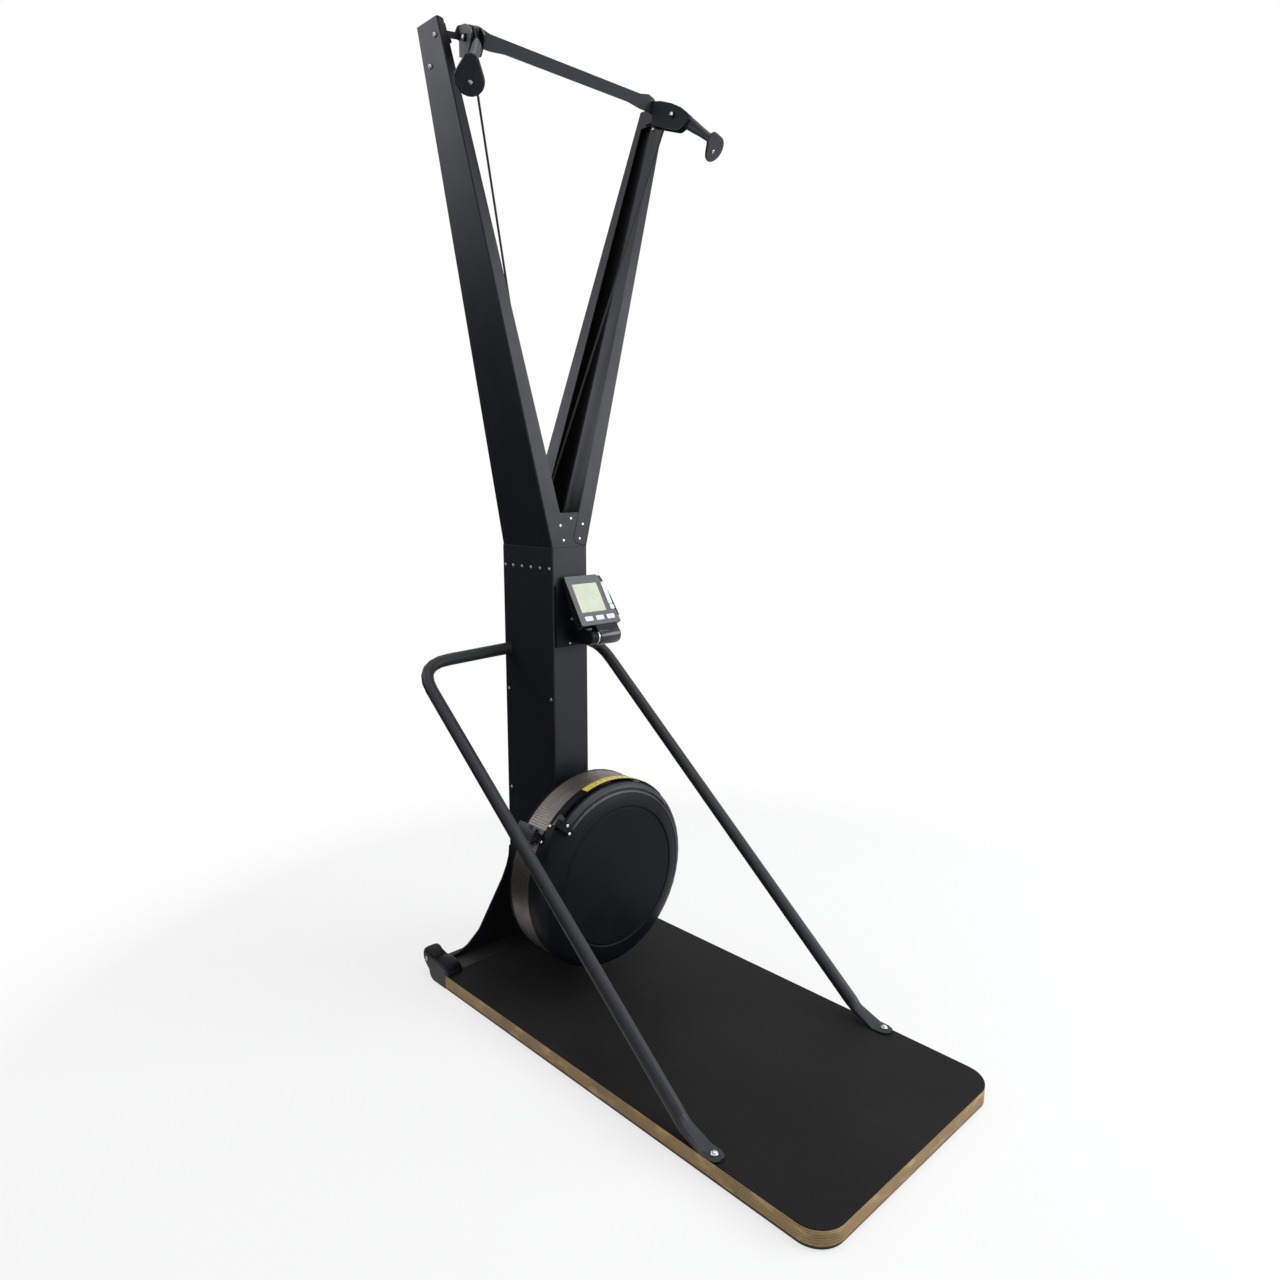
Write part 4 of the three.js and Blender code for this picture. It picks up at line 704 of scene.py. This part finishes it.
def makeColumnScrews():
    row = [(depth, columnScrews["rowHeight"]) for depth in columnScrews["rowDepths"]]
    places = [
        (metres(side * columnScrews["side"], depth, height), (side, 0, 0))
        for side in (-1, 1)
        for depth, height in (*row, *columnScrews["singles"])
    ]
    placeScrews("column_screws", blackenedScrew, "frame", columnScrews, places)


rearScrews = {
    "places": (
        *((x, 567, z) for x in (-41, 41) for z in (345, 580, 815, 1060)),
        *((x, 588.3, z) for x in (-34, 34) for z in (110, 262)),
        *((x, 588, 20) for x in (-150, 150)),
    ),
    "radius": 4.2,
    "height": 2.4,
}


def makeRearScrews():
    places = [(metres(*place), (0, 1, 0)) for place in rearScrews["places"]]
    placeScrews("rear_screws", blackenedScrew, "frame", rearScrews, places)


jointScrews = {
    "front": 369,
    # x and height
    "places": ((-28.7, 1149.2), (3.5, 1165.3), (40.4, 1150.8), (-19.5, 1113.7), (30.5, 1116.4)),
    "radius": 3.5,
    "height": 2.2,
}


def makeJointScrews():
    places = [(metres(x, jointScrews["front"], z), (0, -1, 0)) for x, z in jointScrews["places"]]
    placeScrews("joint_screws", zincPlate, "frame", jointScrews, places)


# Dark seam along the edge of the arm tab that laps over the joint plate
jointSeam = {
    "front": 369,
    "lift": 0.12,
    "half": 0.7,
    "path": (
        (29.2, 1179), (17.2, 1137), (14.8, 1128), (13, 1121), (13.8, 1116), (15.6, 1111.5), (19, 1107.4),
        (25, 1104.2), (32, 1102), (41, 1100.4), (51, 1099.6),
    ),
}


def makeJointSeam():
    seam = Form("joint_seam", seamBlack, "frame", "powder_coat")
    path = [Vector(point) for point in jointSeam["path"]]
    front, back = jointSeam["front"] - jointSeam["lift"], jointSeam["front"] + jointSeam["lift"]
    rows = []
    for i, point in enumerate(path):
        along = (path[min(i + 1, len(path) - 1)] - path[max(i - 1, 0)]).normalized()
        side = Vector((-along.y, along.x)) * jointSeam["half"]
        left, right = point + side, point - side
        corners = ((left, front), (right, front), (right, back), (left, back))
        rows.append([metres(p.x, y, p.y) for p, y in corners])
    seam.loft(rows)
    seam.made()


armScrews = {
    "slope": 0.2545,  # how far the arm leans out, for its height
    "foot": (54, 1097),
    "places": ((388, 2133.3), (426, 2089)),  # depth and height
    "radius": 5,
    "height": 3,
}


def makeArmScrews():
    slope = armScrews["slope"]
    x0, z0 = armScrews["foot"]
    places = [
        (metres(side * (x0 + slope * (height - z0)), depth, height), (side, 0, -slope))
        for side in (-1, 1)
        for depth, height in armScrews["places"]
    ]
    placeScrews("arm_screws", blackenedScrew, "frame", armScrews, places)


makeColumnScrews()
makeRearScrews()
makeJointScrews()
makeJointSeam()
makeArmScrews()
print("screws placed")

# Cage band of the drum: perforated sheet between the two shells
cageBand = {
    "radius": 233,
    "thickness": 1,
    "back": 316,
    "front": 251,
    "columns": 224,
    "rows": 10,
    "hole": 0.29,  # hole radius as a share of the pitch
    "margin": 3,
    "weld": 0.02,
}


def makeCageBand():
    band = Form("drum_cage_band", bandSteel, "frame", "band_steel")
    columns, rows = cageBand["columns"], cageBand["rows"]
    low, high = cageBand["front"] + cageBand["margin"], cageBand["back"] - cageBand["margin"]
    pitch = (high - low) / rows
    corners = ((-1, -1), (0, -1), (1, -1), (1, 0), (1, 1), (0, 1), (-1, 1), (-1, 0))

    def onBand(u, v, radius):  # u in columns round the drum, v in millimetres along Y
        angle = 2 * math.pi * u / columns
        return metres(math.cos(angle) * radius, v, axleHeight + math.sin(angle) * radius)

    for radius in (cageBand["radius"], cageBand["radius"] - cageBand["thickness"]):
        for column in range(columns):
            for row in range(rows):
                u, v = column + 0.5, low + (row + 0.5) * pitch
                square = band.row(onBand(u + x / 2, v + y * pitch / 2, radius) for x, y in corners)
                hole = []
                for x, y in corners:
                    reach = cageBand["hole"] / math.hypot(x, y)
                    hole += band.row([onBand(u + x * reach, v + y * reach * pitch, radius)])
                band.join(square, hole)
            for v0, v1 in ((cageBand["front"], low), (high, cageBand["back"])):
                edge = ((0, v0), (0.5, v0), (1, v0), (1, v1), (0.5, v1), (0, v1))
                band.mesh.faces.new(band.row(onBand(column + u, v, radius) for u, v in edge))
    bmesh.ops.remove_doubles(band.mesh, verts=band.mesh.verts, dist=cageBand["weld"] * mm)
    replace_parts(band.made(), "drum_band")


makeCageBand()
print("cage band made")

# Plain numbers and marks on the damper scale
scaleMarks = {
    "radius": 234.45,
    "start": 103,  # degrees about the axle, from +X
    "end": 65,
    "count": 10,
    "numberSize": 9,
    "numberPlace": 238,
    "numberSteps": 3,
    "tickPlace": (244.5, 246.5),
    "tickWidth": 0.7,
    "thick": 0.12,
}


def textMesh(words, size):
    curve = bpy.data.curves.new("numbers", "FONT")
    curve.body = words
    curve.size = size
    curve.align_x, curve.align_y = "CENTER", "CENTER"
    curve.resolution_u = scaleMarks["numberSteps"]
    carrier = bpy.data.objects.new("numbers", curve)
    bpy.context.scene.collection.objects.link(carrier)
    bpy.context.view_layer.update()
    data = bpy.data.meshes.new_from_object(carrier.evaluated_get(bpy.context.evaluated_depsgraph_get()))
    bpy.data.objects.remove(carrier)
    return data


def makeScaleMarks():
    marks = Form("damper_scale_marks", labelInk, "frame", "scale_yellow")
    start, end, count = (scaleMarks[key] for key in ("start", "end", "count"))
    y0, y1 = scaleMarks["tickPlace"]
    half = scaleMarks["tickWidth"] / 2 * mm
    for i in range(count):
        angle = math.radians(start + (end - start) * i / (count - 1))
        right = Vector((math.sin(angle), 0, -math.cos(angle)))
        out = Vector((math.cos(angle), 0, math.sin(angle)))
        reach = out * scaleMarks["radius"] * mm
        digits = textMesh(str(i + 1), scaleMarks["numberSize"] * mm)
        digits.transform(Matrix((right, (0, 1, 0), out)).transposed().to_4x4())
        digits.transform(Matrix.Translation(metres(0, scaleMarks["numberPlace"], axleHeight) + reach))
        marks.mesh.from_mesh(digits)
        bpy.data.meshes.remove(digits)
        base = metres(0, 0, axleHeight) + reach
        corners = ((-half, y0), (half, y0), (half, y1), (-half, y1))
        marks.mesh.faces.new(marks.row(base + right * x + Vector((0, y * mm, 0)) for x, y in corners))
    made = bmesh.ops.extrude_face_region(marks.mesh, geom=list(marks.mesh.faces))
    lifted = [part for part in made["geom"] if isinstance(part, bmesh.types.BMVert)]
    for vert in lifted:
        out = vert.co - metres(0, 0, axleHeight)
        out.y = 0
        vert.co += out.normalized() * scaleMarks["thick"] * mm
    marks.made()


makeScaleMarks()
print("scale marked")

# Round the drum: angles in degrees about its axle from +X, profiles of (radius, y) in millimetres
drum = {
    "dome": ((160, 194), (169, 194), (190.8, 196.85), (213.8, 205.4), (226.6, 214.5), (233, 224.8)),
    "step": 2,
}
drumRings = {
    "rings": (
        # inner and outer radius, lift, first and last angle
        (214, 226, 1.6, 38, 131),
        (203.5, 210, 1.2, -20, 137),
    ),
    "edge": 1.2,
    "sunk": 0.5,
    "endLift": 0.15,  # share of the lift left at each end
}


def aboutDrum(angle, places):
    turn = math.radians(angle)
    return [metres(math.cos(turn) * r, y, axleHeight + math.sin(turn) * r) for r, y in places]


def domeFront(radius):
    for (r0, y0), (r1, y1) in zip(drum["dome"], drum["dome"][1:]):
        if radius <= r1:
            return y0 + (y1 - y0) * (radius - r0) / (r1 - r0)
    return drum["dome"][-1][1]


def arc(first, last):
    count = max(2, round(abs(last - first) / drum["step"]))
    return [first + (last - first) * i / count for i in range(count + 1)]


def makeDrumRings():
    rings = Form("drum_cover_rings", rimPlastic, "frame", "dark_plastic")
    edge, sunk, endLift = (drumRings[key] for key in ("edge", "sunk", "endLift"))
    for inner, outer, lift, first, last in drumRings["rings"]:
        rows = []
        for angle in arc(first, last):
            end = min(angle - first, last - angle) / drum["step"]
            rise = lift * min(1, endLift + (1 - endLift) * end)
            top = [(r, domeFront(r) - rise) for r in (inner + edge, (inner + outer) / 2, outer - edge)]
            foot = [(r, domeFront(r) + sunk) for r in (inner, outer)]
            rows.append(aboutDrum(angle, [foot[0], *top, foot[1]]))
        rings.loft(rows)
    rings.made()


# Strips on the rim: the yellow scale, and the dark track on both sides of it
rimStrips = {
    "inner": 233.1,
    "outer": 234.2,
    "front": 228.3,
    "back": 247.5,
    "scaleArcs": ((61, 108),),
    "trackArcs": ((108.2, 131), (42, 60.8)),
}


def boxProfile(shape):
    inner, outer, front, back = (shape[key] for key in ("inner", "outer", "front", "back"))
    return ((inner, front), (outer, front), (outer, back), (inner, back))


def makeRimStrip(name, material, slotName, arcs):
    strip = Form(name, material, "frame", slotName)
    for first, last in rimStrips[arcs]:
        strip.loft([aboutDrum(angle, boxProfile(rimStrips)) for angle in arc(first, last)])
    return strip.made()


# Damper knob over the rim, with its two screws as (radius, angle, y)
damperKnob = {
    "angle": 134.6,
    "half": 2.3,
    "sections": (-1, -0.3, 0.3, 1),
    "back": ((207, 201.2), (214, 203.2), (227, 211.5), (233, 217), (247, 219)),
    "front": ((246, 209), (240, 204), (227, 199), (214, 195), (208, 195.5)),
    "rounding": 1.2,
    "roundingSteps": 3,
    "smoothBelow": 30,
    "screws": ((229, 132.9, 199.6), (215, 136, 195.2)),
    "radius": 4,
    "height": 3,
}


def makeKnob():
    knob = Form("damper_knob", drumPlastic, "damper", "dark_plastic")
    profile = [*damperKnob["back"], *damperKnob["front"]]
    middle, half = damperKnob["angle"], damperKnob["half"]
    knob.loft([aboutDrum(middle + half * side, profile) for side in damperKnob["sections"]])
    edges = knob.made(damperKnob["smoothBelow"]).modifiers.new("edges", "BEVEL")
    edges.width, edges.segments = damperKnob["rounding"] * mm, damperKnob["roundingSteps"]
    places = [(aboutDrum(angle, [(r, y)])[0], (0, -1, 0)) for r, angle, y in damperKnob["screws"]]
    placeScrews("damper_knob_screws", zincPlate, "damper", damperKnob, places)


# Clamp of the cage band: screws as (angle, y), and the strip across the band
clampScrews = {"places": ((137.2, 242.5), (147.2, 244.6)), "seat": 232.8, "radius": 3.6, "height": 4}
clampStrip = {"angle": 143, "half": 2.2, "inner": 233.2, "outer": 236, "front": 249, "back": 343}


def makeClampParts():
    places = []
    for angle, y in clampScrews["places"]:
        turn = math.radians(angle)
        at = aboutDrum(angle, [(clampScrews["seat"], y)])[0]
        places.append((at, (math.cos(turn), 0, math.sin(turn))))
    placeScrews("band_clamp_screws", zincPlate, "frame", clampScrews, places)
    strip = Form("band_clamp_strip", collarPlastic, "frame", "dark_plastic")
    middle, half = clampStrip["angle"], clampStrip["half"]
    strip.loft([aboutDrum(middle + half * side, boxProfile(clampStrip)) for side in (-1, 0, 1)])
    strip.made()


makeDrumRings()
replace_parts(makeRimStrip("damper_scale_strip", labelYellow, "scale_yellow", "scaleArcs"), "damper_scale")
makeRimStrip("damper_track", drumPlastic, "dark_plastic", "trackArcs")
makeKnob()
makeClampParts()
print("drum details made")

# Console: wall outside the side keys, sleeve and ring on the pivot tube, mount screws
consoleWall = {
    # across and up the face from the pivot axis
    "path": ((79, 146.5), (82, 139), (85.5, 126), (88.4, 108), (91.2, 88), (92.8, 68), (94, 50), (95, 36)),
    "thick": 1.8,
    "back": 12,
    "front": 31.6,
}
pivotSleeve = {
    # x and radius along the pivot axis
    "profile": ((27, 18.2), (27.6, 20.6), (29.5, 21.4), (88, 21.4), (91.5, 20.4), (93.6, 18), (94.4, 15)),
    "sides": 48,
}
pivotRing = {"x": 22.8, "outer": 19.2, "inner": 18.1, "height": 3.4}
mountScrews = {"front": 363.7, "places": ((-1, 922.8), (-7.5, 863.7)), "radius": 3.4, "height": 2}


def onConsole(x, t, d):  # t up along the face, d out of it, millimetres from the pivot axis
    inFace = Vector((x, 0, 0)) * mm + consoleSet["upward"] * t * mm
    return consoleSet["pivot"] + inFace + consoleSet["outward"] * d * mm


def makeConsoleParts():
    wall = Form("console_side_wall", consolePlastic, "console", "console_grey")
    back, front = consoleWall["back"], consoleWall["front"]
    rows = []
    for inner, t in consoleWall["path"]:
        outer = inner + consoleWall["thick"]
        corners = ((inner, back), (inner, front), (outer, front), (outer, back))
        rows.append([onConsole(x, t, d) for x, d in corners])
    wall.loft(rows)
    wall.made()
    sleeve = Form("pivot_sleeve", collarPlastic, "console", "dark_plastic")
    profile = [(radius * mm, x * mm) for x, radius in pivotSleeve["profile"]]
    sleeve.turned(consoleSet["pivot"], (1, 0, 0), profile, pivotSleeve["sides"])
    sleeve.made()
    ring = Form("pivot_ring", zincPlate, "console", "zinc")
    ring.washer(consoleSet["pivot"] + metres(pivotRing["x"], 0, 0), (1, 0, 0), pivotRing)
    ring.made()
    places = [(metres(x, mountScrews["front"], z), (0, -1, 0)) for x, z in mountScrews["places"]]
    placeScrews("console_mount_screws", blackenedScrew, "frame", mountScrews, places)


makeConsoleParts()
print("console details made")

# Fasteners of handles, crossbar, rail feet and wheels; those of both sides are given for the right side
handleScrews = {
    "left": ((-336.3, 241.9, 2000.0), (-0.5418, -0.5052, -0.6717)),
    "right": ((328.3, 220.2, 2023.0), (0.1683, -0.7785, -0.6046)),
    "radius": 4.6,
    "height": 2.4,
}
pinScrews = {
    "centre": (285.07, 305.62, 2110),
    "axis": (0.94, 0.342, 0),
    "reach": 18.2,
    "radius": 4.2,
    "height": 3,
}
barScrews = {
    "axis": (-0.969, 0, 0.247),
    "places": ((291.8, 385, 2103), (293.8, 378, 2111)),
    "radius": 3.2,
    "height": 2.6,
}
railWasher = {"place": (286, -372, 46.6), "outer": 7.2, "inner": 1, "height": 1.2}
railScrews = {"radius": 4.6, "height": 4}
wheelScrews = {"place": (300, 597, 51), "radius": 6, "height": 4}
cornerCover = {
    # x and scale of each section, then its outline of (y, z), scaled about the middle
    "sections": (
        (299.6, 0.95), (298, 0.985), (295, 1), (264, 1), (259, 0.93), (255, 0.8), (252, 0.62), (250.5, 0.4),
    ),
    "outline": (
        (496, 40.3), (497, 49), (504, 57), (517, 62.5), (540, 65.5), (560, 65.5), (567, 63), (567.5, 22),
        (512, 22), (511.5, 40.3),
    ),
    "middle": (532, 40.3),
    "smoothBelow": 50,
}


def makeCornerCovers():
    covers = Form("rear_corner_covers", drumPlastic, "frame", "dark_plastic")
    middle = Vector(cornerCover["middle"])
    for side in (-1, 1):
        rows = []
        for x, scale in cornerCover["sections"]:
            outline = [middle + (Vector(point) - middle) * scale for point in cornerCover["outline"]]
            rows.append([metres(side * x, y, z) for y, z in outline])
        covers.loft(rows)
    covers.made(cornerCover["smoothBelow"])


def makeFasteners():
    for side in ("left", "right"):
        at, axis = handleScrews[side]
        name, body = f"handle_screw_{side}", f"handle_{side}"
        placeScrews(name, blackenedScrew, body, handleScrews, [(metres(*at), axis)])
    pins, bars, wheels = [], [], []
    feet = Form("rail_foot_screws", zincPlate, "frame", "zinc")
    for side in (-1, 1):
        mirrored = Vector((side, 1, 1))
        for end in (-1, 1):
            axis = Vector(pinScrews["axis"]) * mirrored * end
            pins.append((metres(*pinScrews["centre"]) * mirrored + axis * pinScrews["reach"] * mm, axis))
        for place in barScrews["places"]:
            bars.append((metres(*place) * mirrored, Vector(barScrews["axis"]) * mirrored))
        foot = metres(*railWasher["place"]) * mirrored
        feet.washer(foot, (0, 0, 1), railWasher)
        feet.capScrew(foot + metres(0, 0, railWasher["height"]), (0, 0, 1), railScrews)
        wheels.append((metres(*wheelScrews["place"]) * mirrored, (side, 0, 0)))
    placeScrews("pulley_pin_screws", zincPlate, "frame", pinScrews, pins)
    makeCornerCovers()
    placeScrews("crossbar_screws", zincPlate, "frame", barScrews, bars)
    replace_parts(feet.made(), "rail_bolt_left", "rail_bolt_right")
    placeScrews("wheel_axle_caps", blackenedScrew, "frame", wheelScrews, wheels)


makeFasteners()
print("fasteners placed")

# Pull cords: each is a straight tube from its top pulley to its handle, in place of the CAD cord
pullCords = {
    "left": ((-291.0, 289.3, 2119.9), (-298.3, 269.3, 2085.2)),
    "right": ((291.0, 289.3, 2120.0), (296.2, 274.9, 2095.2)),
    "radius": 2.5,
    "rings": 72,
    "sides": 12,
}


def makePullCords():
    radius, count = pullCords["radius"] * mm, pullCords["rings"]
    for side in ("left", "right"):
        start, end = (metres(*point) for point in pullCords[side])
        cord = Form(f"pull_cord_visible_{side}", cordBraid)
        profile = [(radius, (end - start).length * i / count) for i in range(count + 1)]
        cord.turned(start, end - start, profile, pullCords["sides"])
        piece = cord.made()
        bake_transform(piece)
        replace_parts(piece, f"pull_cord_{side}")


makePullCords()
print("pull cords made")

# Studio: white to the camera and to reflections, a softer sky that lights the object, pale floor that
# fades into the background, lamps in front, behind and above
studio = {
    "white": 1.0,
    "sky": 0.4,
    "floor": 0.9,
    "floorSize": 14,
    "floorHeight": -0.0004,
    "fadeFrom": 0.7,
    "fadeTo": 1.9,
    "fadeLeast": 0.7,
    "lamps": (
        # place, width and height, power, colour, aim
        ((2.3, -2.6, 1.75), (3.0, 1.6), 100, (0.92, 0.96, 1.0), (0, 0.3, 0.9)),
        ((-2.6, 3.3, 2.9), (2.4, 1.4), 42, (0.9, 0.95, 1.0), (0, 0.4, 1.6)),
        ((0.5, -0.5, 4.5), (3.0, 3.0), 60, (1, 1, 1), (0, 0, 0.9)),
    ),
}


def makeSky():
    world = bpy.data.worlds.new("studio")
    world.use_nodes = True
    world.node_tree.nodes.clear()
    bpy.context.scene.world = world
    sky = Shader(world.node_tree)
    seen = sky.ray("Camera").most(sky.ray("Glossy")).most(sky.ray("Transmission"))
    strength = seen * (studio["white"] - studio["sky"]) + studio["sky"]
    light = sky.node("ShaderNodeBackground", {}, {"Color": (1, 1, 1), "Strength": strength})
    sky.node("ShaderNodeOutputWorld", {}, {"Surface": light})


def bareShader(name):
    material = bpy.data.materials.new(name)
    material.use_nodes = True
    material.node_tree.nodes.clear()
    return material, Shader(material.node_tree)


def mixedSurface(shader, factor, first, second):
    mixed = shader.node("ShaderNodeMixShader", {}, {0: factor, 1: first, 2: second})
    shader.node("ShaderNodeOutputMaterial", {}, {"Surface": mixed})


def makeFloor():
    paper, sheet = bareShader("studioPaper")
    reach = sheet.node("ShaderNodeVectorMath", {"operation": "LENGTH"}, {0: sheet.here()}, 1)
    seen = sheet.ray("Camera").most(sheet.ray("Glossy"))
    fade = reach.ramp(studio["fadeFrom"], studio["fadeTo"]).most(studio["fadeLeast"]) * seen
    matt = sheet.node("ShaderNodeBsdfDiffuse", {}, {"Color": (studio["floor"],) * 3})
    glow = sheet.node("ShaderNodeEmission", {}, {"Color": (1, 1, 1), "Strength": studio["white"]})
    mixedSurface(sheet, fade, matt, glow)
    ground = Form("studio_floor", paper)
    half, height = studio["floorSize"] / 2, studio["floorHeight"]
    corners = ((-half, -half), (half, -half), (half, half), (-half, half))
    ground.mesh.faces.new(ground.row((x, y, height) for x, y in corners))
    ground.made()


# Flag: a dark card on the floor and behind, seen in reflections alone, that keeps dark faces dark
flagCard = {
    "inner": 0.8,
    "outer": 2.6,
    "from": 70,  # degrees from +X
    "to": 190,
    "foot": 0.001,
    "height": 1.7,
    "steps": 24,
    "glow": 0.01,
}


def makeFlag():
    black, cloth = bareShader("studioBlack")
    clear = cloth.node("ShaderNodeBsdfTransparent")
    dark = cloth.node("ShaderNodeEmission", {}, {"Color": (1, 1, 1), "Strength": flagCard["glow"]})
    mixedSurface(cloth, cloth.ray("Glossy"), clear, dark)
    flag = Form("studio_flag", black)
    inner, outer, foot, steps = (flagCard[key] for key in ("inner", "outer", "foot", "steps"))
    places = ((inner, foot), (outer, foot), (outer, flagCard["height"]))
    rows = []
    for step in range(steps + 1):
        angle = math.radians(flagCard["from"] + (flagCard["to"] - flagCard["from"]) * step / steps)
        out = Vector((math.cos(angle), math.sin(angle), 0))
        rows.append(flag.row(out * reach + Vector((0, 0, height)) for reach, height in places))
    for last, row in zip(rows, rows[1:]):
        for k in range(len(places) - 1):
            flag.mesh.faces.new((last[k], row[k], row[k + 1], last[k + 1]))
    piece = flag.made()
    piece.visible_shadow = False


def makeLamps():
    for i, (place, size, power, colour, aim) in enumerate(studio["lamps"]):
        lamp = bpy.data.lights.new(f"lamp{i}", "AREA")
        lamp.shape = "RECTANGLE"
        lamp.size, lamp.size_y = size
        lamp.energy = power
        lamp.color = colour
        holder = bpy.data.objects.new(f"lamp{i}", lamp)
        bpy.context.scene.collection.objects.link(holder)
        holder.location = place
        holder.rotation_euler = (Vector(aim) - Vector(place)).to_track_quat("-Z", "Y").to_euler()


bpy.context.scene.view_settings.view_transform = "Standard"
makeSky()
makeFloor()
makeFlag()
makeLamps()
print("studio lit")
